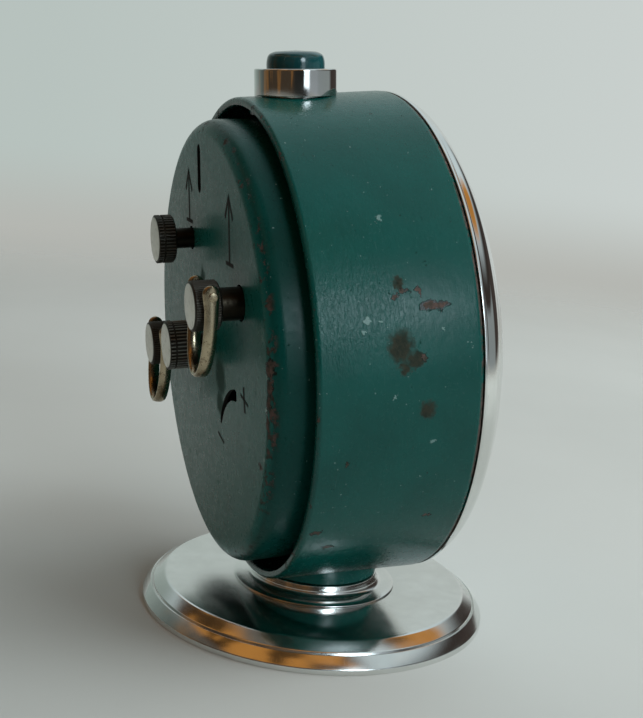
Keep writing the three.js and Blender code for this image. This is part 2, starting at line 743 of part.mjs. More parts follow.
function balanceWheel() {
  const { rim, rimInner, frontY, rearY, spoke, spokeWidth } = BALANCE_WHEEL;
  const [x, z] = BALANCE;
  const ring = turned([[rimInner, frontY], [rim, frontY], [rim, rearY], [rimInner, rearY]], ROUND.middle);
  const reach = (rim + rimInner) / 2;
  const spokes = [30, 150, 270].map((angle) => (
    new THREE.BoxGeometry(reach, spoke, spokeWidth)
      .translate(reach / 2, (frontY + rearY) / 2, 0)
      .rotateY(rad(angle))
      .translate(x, 0, z)
  ));
  const roller = rod(ROLLER.radius, ROLLER.frontY, ROLLER.rearY, BALANCE, ROUND.small);
  return join(ring.translate(x, 0, z), ...spokes, roller, plateArbor(BALANCE));
}

function regulatorLever() {
  const { thickness, rootHalf, tipHalf, eye, pin } = REGULATOR_LEVER;
  const fromY = overBackPlate();
  const toY = fromY + thickness;
  const tip = polar(REGULATOR.reach, rad(REGULATOR.restAngle), BALANCE);
  const lever = join(
    slab(barShape(BALANCE, tip, rootHalf, tipHalf), fromY, thickness),
    rod(eye, fromY, toY, BALANCE, ROUND.small),
    rod(tipHalf, fromY, toY, tip, ROUND.small),
    rod(pin, fromY + thickness / 2, COVER.faceY - COVER.sheet - GAP, tip, ROUND.pin),
  );
  return cut(lever, rod(ARBOR.pivot + GAP, fromY - 1, toY + 1, BALANCE, ROUND.pin));
}

function alarmHammer() {
  const { thickness, half, hub, hubHeight, head, headRadius, headY } = HAMMER_LEVER;
  const fromY = overBackPlate();
  return join(
    slab(barShape(HAMMER, head, half), fromY, thickness),
    rod(ARBOR.pivot, FRONT_PLATE.y + GAP, fromY + thickness, HAMMER, ROUND.pin),
    rod(hub, fromY, fromY + hubHeight, HAMMER, ROUND.pin),
    rod(headRadius, fromY, headY, head, ROUND.small),
  );
}

function alarmStopLever() {
  const [x, z] = STOP_LEVER;
  const tipZ = BUTTON.stemZ - GAP;
  const thickness = 1;
  const arm = slab(outlineShape([
    [x + 1.2, z - 5],
    [x + 1.4, z + 0.8],
    [1, tipZ],
    [-1.6, tipZ],
    [-1.6, tipZ - 1.4],
    [x - 1, z - 0.8],
    [x - 0.4, z - 5],
  ]), COLLAR.y - thickness / 2, thickness);
  return join(arm, plateArbor(STOP_LEVER));
}

// Assembly

const clock = new THREE.Group();
const caseFrame = new THREE.Group();
caseFrame.position.copy(CASE_ORIGIN);
caseFrame.rotation.x = -TILT;
clock.add(caseFrame);

function piece(name, geometry, look, parent = caseFrame) {
  const mesh = new THREE.Mesh(geometry, look);
  mesh.name = name;
  parent.add(mesh);
}

function addBail(name, place) {
  const pivot = new THREE.Group();
  pivot.position.set(place.x, bailPivotY(place), place.z + BAIL.pivotZ);
  pivot.rotation.x = TILT; // it hangs plumb although the case leans
  caseFrame.add(pivot);
  piece(name, bail(), nickel, pivot);
}

piece('base_disc', baseDisc(), chrome, clock);
piece('foot_pad', footPad(), felt, clock);
piece('pedestal_neck', pedestalNeck(), chrome, clock);
piece('case_boss', caseBoss(), enamel, clock);
piece('pedestal_screw', pedestalScrew(), steel, clock);
piece('pedestal_nut', pedestalNut(), steel, clock);

piece('case_drum', caseDrum(), enamel);
piece('rear_cover', rearCover(), enamel);
piece('front_bezel', frontBezel(), chrome);
piece('crystal', crystal(), glass);
piece('crystal_ring', crystalRing(), chrome);
piece('dial', dial(), dialPaint);
piece('alarm_hand', hand(HAND.alarm), alarmPaint);
piece('hour_hand', hand(HAND.hour), handPaint);
piece('minute_hand', hand(HAND.minute), handPaint);

piece('button_collar', buttonCollar(), chrome);
piece('collar_nut', collarNut(), steel);
piece('top_button', topButton(), plastic);
piece('button_spring', buttonSpring(), steel);

piece('time_key', windingKey(TIME_KEY), nickel);
piece('time_arbor', windingArbor(TIME_KEY), steel);
addBail('time_bail', TIME_KEY);
piece('alarm_key', windingKey(ALARM_KEY), nickel);
piece('alarm_arbor', windingArbor(ALARM_KEY), steel);
addBail('alarm_bail', ALARM_KEY);
piece('set_knob', knob(SET_KNOB), nickel);
piece('centre_arbor', centreArbor(), steel);
piece('cannon_pinion', cannonPinion(), brass);
piece('alarm_set_knob', knob(ALARM_KNOB), nickel);
piece('alarm_set_arbor', alarmArbor(), steel);

piece('front_plate', movementPlate(FRONT_PLATE), brass);
piece('back_plate', movementPlate(BACK_PLATE), brass);
PILLARS.forEach((place, i) => {
  piece(`pillar_${i + 1}`, pillar(place), brass);
  piece(`pillar_nut_${i + 1}`, pillarNut(place), steel);
});

piece('time_great_wheel', greatWheel(TIME_KEY, WHEEL.timeGreat), brass);
piece('time_mainspring', spiral(axisOf(TIME_KEY), TIME_SPRING), blued);
piece('alarm_great_wheel', greatWheel(ALARM_KEY, WHEEL.alarmGreat), brass);
piece('alarm_mainspring', spiral(axisOf(ALARM_KEY), ALARM_SPRING), blued);
piece('intermediate_wheel', trainWheel(INTERMEDIATE, WHEEL.intermediate, PINION.intermediate), brass);
piece('centre_wheel', centreWheel(), brass);
piece('third_wheel', trainWheel(THIRD, WHEEL.third, PINION.third), brass);
piece('fourth_wheel', trainWheel(FOURTH, WHEEL.fourth, PINION.fourth), brass);
piece('escape_wheel', trainWheel(ESCAPE, WHEEL.escape, PINION.escape), brass);
piece('pallet_lever', palletLever(), steel);
piece('balance_wheel', balanceWheel(), brass);
piece('hairspring', spiral(BALANCE, HAIRSPRING), blued);
piece('regulator_lever', regulatorLever(), steel);

piece('minute_wheel', minuteWheel(), brass);
piece('hour_wheel', pipedWheel(WHEEL.hour, HOUR_PIPE, CANNON_PIPE), brass);
piece('alarm_wheel', pipedWheel(WHEEL.alarm, ALARM_PIPE, HOUR_PIPE), brass);
piece('alarm_escape_wheel', trainWheel(ALARM_ESCAPE, WHEEL.alarmEscape, PINION.alarmEscape), brass);
piece('alarm_hammer', alarmHammer(), steel);
piece('alarm_stop_lever', alarmStopLever(), steel);

export default clock;
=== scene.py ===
import json
import math

import bmesh
import bpy
from mathutils import Matrix, Vector


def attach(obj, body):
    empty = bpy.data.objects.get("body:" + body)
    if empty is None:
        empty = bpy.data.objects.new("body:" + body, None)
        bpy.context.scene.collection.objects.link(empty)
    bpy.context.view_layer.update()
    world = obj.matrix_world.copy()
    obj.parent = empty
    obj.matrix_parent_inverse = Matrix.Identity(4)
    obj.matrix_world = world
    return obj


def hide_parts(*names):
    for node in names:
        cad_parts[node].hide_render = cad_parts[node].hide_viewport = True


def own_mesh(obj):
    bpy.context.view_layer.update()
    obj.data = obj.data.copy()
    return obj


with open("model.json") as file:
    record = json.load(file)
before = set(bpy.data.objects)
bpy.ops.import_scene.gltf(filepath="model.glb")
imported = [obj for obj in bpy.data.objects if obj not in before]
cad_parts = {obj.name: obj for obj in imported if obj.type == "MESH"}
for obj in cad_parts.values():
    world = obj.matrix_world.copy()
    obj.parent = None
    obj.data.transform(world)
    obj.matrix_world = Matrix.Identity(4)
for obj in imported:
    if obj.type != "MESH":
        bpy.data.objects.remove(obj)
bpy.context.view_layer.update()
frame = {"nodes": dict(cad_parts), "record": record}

SCENE = bpy.context.scene
SCENE.view_settings.view_transform = "Standard"
MM = 0.001

# The case frame: its origin is on the case's axis at the rear rim, Y out of the back, Z to the button.
TILT = math.radians(5.7)
CASE = Matrix.Translation(Vector((0, 19, 52.2)) * MM) @ Matrix.Rotation(-TILT, 4, "X")
UPRIGHT = Matrix.Rotation(math.pi / 2, 4, "X")  # takes a turned piece's Y axis to Z

CASE_FRONT_Y = -27.8
BUTTON_Y = -10.9
COVER_FACE_Y = 6.26
TIME_KEY = (-22.5, 11.5, 14.8)  # x, z and the rear face's y
ALARM_KEY = (18.5, -3.6, 13.6)
SET_KNOB = (0, 0, 14.25)
ALARM_KNOB = (11, 17.9, 13.4)
BALANCE = (-20, -18)
REGULATOR_SLOT = {"reach": 12.7, "start": 23, "sweep": 64, "narrow": 0.55, "wide": 1.1}
SOUND_SLOT = {"x": 4.1, "low": 28.15, "high": 34.65, "half_width": 1.15}
TINY = 1e-6


def in_case(x=0, y=0, z=0):
    return CASE @ Matrix.Translation(Vector((x, y, z)) * MM)


# ---------------------------------------------------------------- camera, lights and floor

CAMERA_AT = Vector((-217.6, 83.5, 97.1)) * MM
CAMERA_TARGET = Vector((7.52, 0, 47.23)) * MM
CAMERA_ROLL = math.radians(5.513)
FOCAL_IN_WIDTHS = 1244.5 / 643


def make_camera():
    forward = (CAMERA_TARGET - CAMERA_AT).normalized()
    right = forward.cross(Vector((0, 0, 1))).normalized()
    up = right.cross(forward)
    rolled_right = math.cos(CAMERA_ROLL) * right + math.sin(CAMERA_ROLL) * up
    rolled_up = math.cos(CAMERA_ROLL) * up - math.sin(CAMERA_ROLL) * right
    data = bpy.data.cameras.new("camera")
    data.sensor_fit = "HORIZONTAL"
    data.sensor_width = 36
    data.lens = data.sensor_width * FOCAL_IN_WIDTHS
    data.clip_start = 0.01
    camera = bpy.data.objects.new("camera", data)
    basis = Matrix((rolled_right, rolled_up, -forward)).transposed()
    camera.matrix_world = Matrix.Translation(CAMERA_AT) @ basis.to_4x4()
    SCENE.collection.objects.link(camera)
    SCENE.camera = camera


def direction(azimuth, elevation):
    """A unit vector. Azimuth is measured from -X towards -Y."""
    a, e = math.radians(azimuth), math.radians(elevation)
    return Vector((-math.cos(a) * math.cos(e), -math.sin(a) * math.cos(e), math.sin(e)))


def area_light(name, azimuth, elevation, distance, size, power, color):
    data = bpy.data.lights.new(name, "AREA")
    data.shape = "RECTANGLE"
    data.size, data.size_y = size
    data.energy = power
    data.color = color
    light = bpy.data.objects.new(name, data)
    towards = direction(azimuth, elevation)
    light.location = Vector((0, 0, 0.05)) + towards * distance
    light.rotation_mode = "QUATERNION"
    light.rotation_quaternion = towards.to_track_quat("Z", "Y")
    light.visible_camera = False
    light.visible_glossy = False
    SCENE.collection.objects.link(light)


make_camera()


# ---------------------------------------------------------------- node helpers


class Graph:
    """A material's or the world's node tree, with short calls for the nodes used here."""

    def __init__(self, tree):
        self.tree = tree
        tree.nodes.clear()

    def node(self, kind, **settings):
        made = self.tree.nodes.new(kind)
        for key, value in settings.items():
            setattr(made, key, value)
        return made

    def put(self, socket, value):
        if isinstance(value, bpy.types.NodeSocket):
            self.tree.links.new(value, socket)
        elif value is not None:
            if socket.type == "RGBA" and len(value) == 3:
                value = (*value, 1)
            socket.default_value = value

    def math(self, operation, a, b=None, c=None):
        made = self.node("ShaderNodeMath", operation=operation)
        for socket, value in zip(made.inputs, (a, b, c)):
            self.put(socket, value)
        return made.outputs[0]

    def vector(self, operation, a, b=None):
        made = self.node("ShaderNodeVectorMath", operation=operation)
        self.put(made.inputs[0], a)
        self.put(made.inputs[1], b)
        return made.outputs["Value" if operation in ("LENGTH", "DOT_PRODUCT") else "Vector"]

    def scaled(self, vector, factor):
        made = self.node("ShaderNodeVectorMath", operation="SCALE")
        self.put(made.inputs[0], vector)
        made.inputs["Scale"].default_value = factor
        return made.outputs["Vector"]

    def step(self, value, low, high, out_low=0.0, out_high=1.0):
        made = self.node("ShaderNodeMapRange", interpolation_type="SMOOTHSTEP")
        for socket, given in zip(made.inputs, (value, low, high, out_low, out_high)):
            self.put(socket, given)
        return made.outputs[0]

    def noise(self, vector, scale, detail=3.0, roughness=0.5, distortion=0.0):
        made = self.node("ShaderNodeTexNoise")
        self.put(made.inputs["Vector"], vector)
        made.inputs["Scale"].default_value = scale
        made.inputs["Detail"].default_value = detail
        made.inputs["Roughness"].default_value = roughness
        made.inputs["Distortion"].default_value = distortion
        return made.outputs["Fac"]

    def noise_vector(self, vector, scale):
        made = self.node("ShaderNodeTexNoise")
        self.put(made.inputs["Vector"], vector)
        made.inputs["Scale"].default_value = scale
        return self.vector("SUBTRACT", made.outputs["Color"], (0.5, 0.5, 0.5))

    def mix(self, factor, a, b):
        made = self.node("ShaderNodeMix", data_type="RGBA")
        self.put(made.inputs[0], factor)
        self.put(made.inputs[6], a)
        self.put(made.inputs[7], b)
        return made.outputs[2]

    def blend(self, factor, a, b):
        """The same for two numbers."""
        made = self.node("ShaderNodeMix", data_type="FLOAT")
        self.put(made.inputs[0], factor)
        self.put(made.inputs[2], a)
        self.put(made.inputs[3], b)
        return made.outputs[0]

    def split(self, vector):
        made = self.node("ShaderNodeSeparateXYZ")
        self.put(made.inputs[0], vector)
        return made.outputs

    def bump(self, height, strength, distance, normal=None):
        made = self.node("ShaderNodeBump")
        made.inputs["Strength"].default_value = strength
        made.inputs["Distance"].default_value = distance
        self.put(made.inputs["Height"], height)
        self.put(made.inputs["Normal"], normal)
        return made.outputs[0]


class Surface(Graph):
    """A material with one Principled shader. `mm` is the piece's own coordinates in millimetres."""

    def __init__(self, name):
        self.material = bpy.data.materials.new(name)
        self.material.use_nodes = True
        super().__init__(self.material.node_tree)
        self.shader = self.node("ShaderNodeBsdfPrincipled")
        output = self.node("ShaderNodeOutputMaterial")
        self.tree.links.new(self.shader.outputs[0], output.inputs["Surface"])
        coordinates = self.node("ShaderNodeTexCoord")
        self.mm = self.scaled(coordinates.outputs["Object"], 1 / MM)

    def set(self, **values):
        for key, value in values.items():
            self.put(self.shader.inputs[key.replace("_", " ")], value)
        return self


# ---------------------------------------------------------------- materials


def spot_distance(surface, spots, ragged):
    """The distance to the nearest spot as a share of its radii: one on its ragged edge."""
    warp = surface.scaled(surface.noise_vector(surface.mm, 0.9), ragged)
    fine = surface.scaled(surface.noise_vector(surface.mm, 3.0), ragged * 0.45)
    place = surface.vector("ADD", surface.vector("ADD", surface.mm, warp), fine)
    nearest = None
    for centre, radii in spots:
        away = surface.vector("SUBTRACT", place, centre)
        size = surface.vector("LENGTH", surface.vector("DIVIDE", away, radii))
        nearest = size if nearest is None else surface.math("MINIMUM", nearest, size)
    return nearest


CHIP_LEVEL = 0.756  # paint is cracked, or gone, where the noise comes near this level or passes it
CHIP_OFFSET = (31.0, 17.0, 5.0)
WRINKLED_SPOT = (-42.5, -6.0, 13.0)  # where the drum's paint is most wrinkled


def brushed_color(s, shade_and_stains):
    """Teal that varies in clouds and grain and has long scratches, with the grain and the scratches."""
    cloud = s.noise(s.mm, 0.05, 4, 0.6)
    grain = s.noise(s.mm, 0.9, 5, 0.65)
    base = s.mix(s.step(cloud, 0.3, 0.7), [c * 0.85 for c in TEAL], [c * 1.12 for c in TEAL])
    base = s.mix(s.step(grain, 0.62, 0.8, 0, 0.2), base, [c * 1.6 for c in TEAL])
    # the hook can paint light and shade, as well as stains, into the colour
    if shade_and_stains:
        base = shade_and_stains(s, base)
    stretched = s.vector("MULTIPLY", s.mm, (0.35, 6.0, 0.35))
    scratch = s.step(s.noise(stretched, 1.0, 2, 0.5, 0.4), 0.70, 0.76)
    return s.mix(s.math("MULTIPLY", scratch, 0.12), base, (0.12, 0.22, 0.2)), grain, scratch


def chip_masks(s, marks, wear):
    """Masks for the dark edge of the chips and for the bare metal inside them."""
    chip = s.math("DIVIDE", CHIP_LEVEL, s.noise(s.vector("ADD", s.mm, CHIP_OFFSET), 0.8, 6, 0.72))
    if "chips" in marks:
        chip = s.math("MINIMUM", chip, spot_distance(s, marks["chips"], 2.0))
    edge = s.step(chip, 1.16, 1.02)
    bare = s.step(chip, 0.84, 0.72)
    if wear:
        worn = wear(s)
        edge = s.math("MAXIMUM", edge, worn)
        bare = s.math("MAXIMUM", bare, s.math("MULTIPLY", worn, 0.8))
    return edge, bare


def enamel(name, marks=None, wear=None, gloss=0.25, shine=0.28, texture=1.0, shade_and_stains=None, stain_depth=0.9):
    """Old glossy paint: brush texture and scratches, soft stains, and chips with dark edges.

    `marks` lists its stains, chips and pale specks, `wear` gives a mask for paint that is off, and
    the function given last changes the colour underneath them, with painted light and shade as well as
    stains.
    """
    s = Surface(name)
    marks = marks or {}
    base, grain, scratch = brushed_color(s, shade_and_stains)

    specks = s.step(s.noise(s.mm, 1.7, 2, 0.4), 0.74, 0.77)
    if "pale" in marks:
        specks = s.math("MAXIMUM", specks, s.step(spot_distance(s, marks["pale"], 1.6), 1.0, 0.7))
    base = s.mix(s.math("MULTIPLY", specks, 0.6), base, (0.22, 0.34, 0.32))

    rust = s.step(s.noise(s.mm, 1.1, 5, 0.7), 0.35, 0.65)
    stained = 0.0
    if "stains" in marks:
        stain = s.mix(rust, (0.012, 0.014, 0.008), (0.034, 0.027, 0.015))
        stained = s.step(spot_distance(s, marks["stains"], 2.2), 1.2, 0.55)
        base = s.mix(s.math("MULTIPLY", stained, stain_depth), base, stain)
    edge, bare = chip_masks(s, marks, wear)
    base = s.mix(edge, base, (0.003, 0.008, 0.006))
    base = s.mix(bare, base, s.mix(rust, (0.03, 0.032, 0.022), (0.12, 0.075, 0.066)))

    rough = s.blend(s.step(grain, 0.3, 0.8), gloss * 0.85, gloss * 1.25)
    rough = s.blend(scratch, rough, 0.5)
    rough = s.blend(s.math("MAXIMUM", stained, bare), rough, 0.7)

    away = s.vector("LENGTH", s.vector("SUBTRACT", s.mm, WRINKLED_SPOT))
    waves = s.noise(s.mm, 0.55, 5, 0.62)
    wrinkles = s.noise(s.vector("MULTIPLY", s.mm, (0.9, 2.0, 0.9)), 1.0, 3, 0.6, 0.6)
    wrinkles = s.math("MULTIPLY", wrinkles, s.step(away, 13.0, 4.0, 0.2, 1.5))
    skin = s.bump(s.math("ADD", s.math("MULTIPLY", waves, 0.6), wrinkles), 0.2 * texture, 0.35 * MM)
    relief = s.math("SUBTRACT", s.math("MULTIPLY", specks, 0.4), edge)
    s.set(Base_Color=base, Roughness=rough, Normal=s.bump(relief, 0.7, 0.15 * MM, skin),
          Specular_IOR_Level=shine)
    return s.material


def metal(name, color, roughness, grime_and_shade=None, shade_and_grime_at=None, scratches=0.35, patchy=0.25, dirty=0.75):
    """Bare or plated metal with handling marks. The mask that may follow the grime colour adds more of that
    colour: dirt, and on the knobs' sides painted shade.
    """
    s = Surface(name)
    cloud = s.noise(s.mm, 0.16, 5, 0.6)
    pits = s.noise(s.mm, 3.2, 4, 0.65)
    base = s.mix(s.step(cloud, 0.3, 0.72), [c * (1 - patchy * 0.5) for c in color], color)
    base = s.mix(s.step(pits, 0.66, 0.78, 0, patchy), base, [c * 0.42 for c in color])
    lines = s.noise(s.vector("MULTIPLY", s.mm, (0.5, 7.0, 0.5)), 1.0, 3, 0.55)
    rough = s.blend(s.step(lines, 0.45, 0.75), roughness, roughness + scratches * 0.4)
    rough = s.blend(s.step(cloud, 0.35, 0.7, 0, scratches), rough, roughness + 0.14)
    if grime_and_shade:
        dirt_and_shade = s.step(s.noise(s.mm, 0.8, 5, 0.68), 0.5, 0.66, 0, dirty)
        # the extra mask adds painted shade to the dirt on the knobs' sides
        if shade_and_grime_at:
            dirt_and_shade = s.math("MAXIMUM", dirt_and_shade, shade_and_grime_at(s))
        base = s.mix(dirt_and_shade, base, grime_and_shade)
        rough = s.blend(dirt_and_shade, rough, 0.55)
    height = s.math("ADD", s.math("MULTIPLY", lines, 0.6), s.math("MULTIPLY", pits, 0.4))
    s.set(Base_Color=base, Metallic=1.0, Roughness=rough,
          Normal=s.bump(height, scratches * 0.5, 0.05 * MM))
    return s.material


def chrome(name="chrome", spun=None):
    """Mirror plating with a faint haze, wipe marks and a few pits, or spun about an axis."""
    s = Surface(name)
    haze = s.noise(s.mm, 0.09, 5, 0.6)
    pits = s.noise(s.mm, 2.4, 4, 0.6)
    wipes = s.noise(s.vector("MULTIPLY", s.mm, (0.8, 0.8, 5.0)), 0.9, 3, 0.6)
    base = s.mix(s.step(haze, 0.35, 0.7), (0.7, 0.71, 0.69), (0.8, 0.81, 0.79))
    base = s.mix(s.step(pits, 0.71, 0.76, 0, 0.7), base, (0.12, 0.1, 0.08))
    low, high = (0.11, 0.18) if spun else (0.05, 0.12)
    rough = s.blend(s.step(haze, 0.4, 0.75), low, high)
    rough = s.blend(s.step(wipes, 0.55, 0.75, 0, 0.5), rough, high + 0.08)
    s.set(Base_Color=base, Metallic=1.0, Roughness=rough, Normal=s.bump(pits, 0.05, 0.04 * MM))
    if spun:
        tangent = s.node("ShaderNodeTangent", direction_type="RADIAL", axis=spun)
        s.set(Anisotropic=0.75, Tangent=tangent.outputs[0])
    return s.material


def plastic(name, color, roughness=0.16):
    s = Surface(name)
    cloud = s.noise(s.mm, 0.25, 4, 0.6)
    scuffs = s.step(s.noise(s.vector("MULTIPLY", s.mm, (3.0, 0.7, 3.0)), 1.0, 4, 0.6), 0.6, 0.72)
    base = s.mix(s.step(cloud, 0.3, 0.7), [c * 0.85 for c in color], [c * 1.15 for c in color])
    base = s.mix(s.math("MULTIPLY", scuffs, 0.12), base, (0.2, 0.27, 0.27))
    rough = s.blend(scuffs, roughness, roughness + 0.2)
    s.set(Base_Color=base, Roughness=rough, Normal=s.bump(s.noise(s.mm, 1.4, 3), 0.06, 0.1 * MM),
          Coat_Weight=0.3, Coat_Roughness=0.05)
    return s.material


def paint(name, color, stain, roughness=0.5, speckle=0.5):
    """Matt or satin paint that has yellowed a little in patches."""
    s = Surface(name)
    aged = s.step(s.noise(s.mm, 0.07, 5, 0.65), 0.35, 0.75, 0, 0.6)
    spots = s.step(s.noise(s.mm, 1.1, 4, 0.6), 0.68, 0.76, 0, speckle)
    base = s.mix(spots, s.mix(aged, color, stain), [c * 0.5 for c in stain])
    rough = s.blend(spots, roughness, min(1.0, roughness + 0.2))
    s.set(Base_Color=base, Roughness=rough, Normal=s.bump(s.noise(s.mm, 2.2, 4), 0.12, 0.05 * MM))
    return s.material


def felt(name, color):
    """Matted fibres with a faint sheen."""
    s = Surface(name)
    fibres = s.noise(s.vector("MULTIPLY", s.mm, (2.4, 2.4, 1.2)), 1.3, 6, 0.75, 1.5)
    base = s.mix(s.step(fibres, 0.35, 0.65), [c * 0.6 for c in color], [c * 1.5 for c in color])
    s.set(Base_Color=base, Roughness=0.95, Normal=s.bump(fibres, 0.8, 0.3 * MM), Sheen_Weight=0.4)
    return s.material


def clear(name):
    """Clear plastic with a little haze on it."""
    s = Surface(name)
    haze = s.step(s.noise(s.vector("MULTIPLY", s.mm, (1.0, 1.0, 0.3)), 0.7, 5, 0.7), 0.6, 0.8, 0.0, 0.05)
    s.set(Base_Color=(0.98, 0.985, 0.98), Roughness=haze, IOR=1.49, Transmission_Weight=1.0)
    return s.material


def axis_distance(s):
    """The distance from the piece's local Y axis, in millimetres."""
    x, _, z = s.split(s.mm)[:3]
    return s.math("SQRT", s.math("ADD", s.math("MULTIPLY", x, x), s.math("MULTIPLY", z, z)))


def rim_wear(s):
    """Bare metal on the drum's two edges, here and there."""
    y = s.split(s.mm)[1]
    torn = s.noise(s.mm, 0.35, 5, 0.7)
    rear = s.math("MULTIPLY", s.step(y, -0.45, -0.15), s.step(torn, 0.58, 0.62))
    front = s.math("MULTIPLY", s.step(y, -27.0, -27.4), s.step(torn, 0.42, 0.5))
    return s.math("MAXIMUM", rear, front)


def shoulder_wear(s):
    """Chips on the cover's shoulder, only where it has been knocked."""
    shoulder_radius = 38.9
    edge = s.step(s.math("ABSOLUTE", s.math("SUBTRACT", axis_distance(s), shoulder_radius)), 1.2, 0.4)
    knocked = s.step(s.split(s.mm)[0], -28.0, -36.0, 0.0, 0.06)
    torn = s.step(s.math("ADD", s.noise(s.mm, 0.5, 6, 0.75), knocked), 0.57, 0.62)
    return s.math("MULTIPLY", edge, torn)


def cover_coat(s, base):
    """Painted light on the cover's face and painted shade on its wall, and old oil that has run down it."""
    # the face is painted lighter as painted light, and the wall darker as painted shade
    painted_lit_face = s.step(s.split(s.mm)[1], 5.2, 6.2)
    wall, face = s.mix(0.45, base, (0.0004, 0.02, 0.016)), s.mix(0.6, base, (0.008, 0.13, 0.115))
    base = s.mix(painted_lit_face, wall, face)
    cloud = s.step(s.noise(s.mm, 0.11, 5, 0.65), 0.5, 0.75, 0, 0.3)
    runs = s.noise(s.vector("MULTIPLY", s.mm, (1.1, 1.1, 0.2)), 0.7, 5, 0.7)
    streak = s.step(runs, 0.6, 0.74, 0, 0.45)
    return s.mix(s.math("MAXIMUM", cloud, streak), base, (0.003, 0.022, 0.017))


def side_grime(radius, ridge_tips_spared):
    """Painted shade and dirt round a knob's side and in its grooves, which leaves its rear face clean."""
    def mask(s):
        away = axis_distance(s)
        # the whole side is darkened as painted shade, with dirt in the grooves
        dirt_and_shade = s.step(away, radius - 0.5, radius - 0.35, 0, 0.95)
        return s.math("MULTIPLY", dirt_and_shade, s.step(away, radius - 0.1, radius - 0.03, 1.0, 1 - ridge_tips_spared))
    return mask


TEAL = (0.0012, 0.066, 0.055)

# Each mark is a centre and the radii of its spot, in the piece's own millimetres.
DRUM_MARKS = {
    "stains": [
        ((-44.0, -13.6, 7.2), (3, 2.3, 2.9)),
        ((-44.2, -16.2, 5.2), (3, 1.7, 1.4)),
        ((-44.2, -14.3, 4.0), (3, 1.0, 1.5)),
        ((-44.6, -18.1, -3.1), (3, 1.4, 1.7)),
        ((-41.5, -14.2, 16.7), (3, 0.9, 1.3)),
    ],
    "chips": [
        ((-42.8, -19.7, 13.3), (3, 2.5, 0.8)),
        ((-41.6, -14.9, 15.7), (3, 0.8, 0.5)),
        ((-42.0, -13.3, 14.8), (3, 0.6, 0.4)),
        ((-41.8, -17.2, 15.6), (3, 0.45, 0.6)),
        ((-44.4, -17.4, 5.4), (3, 0.5, 0.5)),
        ((-36.6, -2.2, -24.7), (3, 1.0, 0.5)),
        ((-33.7, -5.1, -28.7), (3, 1.0, 0.4)),
        ((-38.2, -20.9, -23.3), (3, 0.8, 0.35)),
        ((-42.8, -5.2, -11.4), (3, 0.35, 0.4)),
    ],
    "pale": [
        ((-42.9, -8.4, 11.4), (3, 0.6, 0.6)),
        ((-43.2, -7.6, 9.9), (3, 0.45, 0.3)),
        ((-42.9, -10.6, 11.3), (3, 0.5, 0.25)),
        ((-43.0, -20.9, 9.6), (3, 0.4, 0.3)),
        ((-35.8, -12.8, 26.4), (3, 0.45, 0.35)),
        ((-43.9, -19.5, -8.8), (3, 0.5, 0.3)),
        ((-44.2, -12.5, -0.6), (3, 0.3, 0.3)),
    ],
}
COVER_MARKS = {
    "stains": [
        ((-8.5, 6, -4.5), (3.6, 3, 3.8)),
        ((-8.0, 6, -9.5), (2.5, 3, 2.6)),
        ((3.0, 6, 11.0), (1.8, 3, 3.0)),
    ],
    "chips": [
        ((-38.3, 6, 4.2), (1.0, 3, 1.5)),
        ((-38.2, 6, 1.0), (0.8, 3, 1.3)),
        ((-37.9, 6, -1.6), (0.7, 3, 1.2)),
        ((-37.6, 6, -5.0), (0.5, 3, 1.6)),
        ((-33.6, 6, -13.4), (1.2, 3, 0.5)),
    ],
    "pale": [
        ((-37.9, 6, 2.6), (0.7, 3, 0.5)),
        ((-37.2, 6, -3.2), (0.6, 3, 0.5)),
        ((-35.5, 6, -11.5), (0.5, 3, 0.6)),
    ],
}

drum_enamel = enamel("drum_enamel", DRUM_MARKS, rim_wear)
boss_enamel = enamel("boss_enamel")
# the cover's colour hook paints light on its face and shade on its wall, with oil runs
cover_enamel = enamel("cover_enamel", COVER_MARKS, shoulder_wear, 0.3, 0.13, 0.1, cover_coat, 0.6)
mirror_chrome = chrome()
spun_chrome = chrome("spun_chrome", "Y")
satin_steel = metal("satin_steel", (0.6, 0.59, 0.56), 0.25)
# dark brown for dirt, and for painted shade on the knobs' sides
GRIME_AND_SHADE = (0.012, 0.009, 0.005)
NICKEL = (0.68, 0.67, 0.6)
KEY_RADIUS = 4.2
CENTRE_KNOB_RADIUS = 4.4
ALARM_KNOB_RADIUS = 4.5


# nickel with dirt, and painted shade on its side and in its grooves
def worn_nickel(name, grime_and_shade, radius, ridge_tips_spared):
    return metal(name, NICKEL, 0.36, grime_and_shade, side_grime(radius, ridge_tips_spared), 0.4, dirty=0.2)


centre_nickel = worn_nickel("centre_nickel", GRIME_AND_SHADE, CENTRE_KNOB_RADIUS, 0.3)
alarm_nickel = worn_nickel("alarm_nickel", GRIME_AND_SHADE, ALARM_KNOB_RADIUS, 0.12)
key_nickel = worn_nickel("key_nickel", (0.016, 0.011, 0.007), KEY_RADIUS, 0.06)
bail_nickel = metal("bail_nickel", (0.44, 0.37, 0.25), 0.2, (0.12, 0.085, 0.05), None, 0.12, 0.3, 0.5)
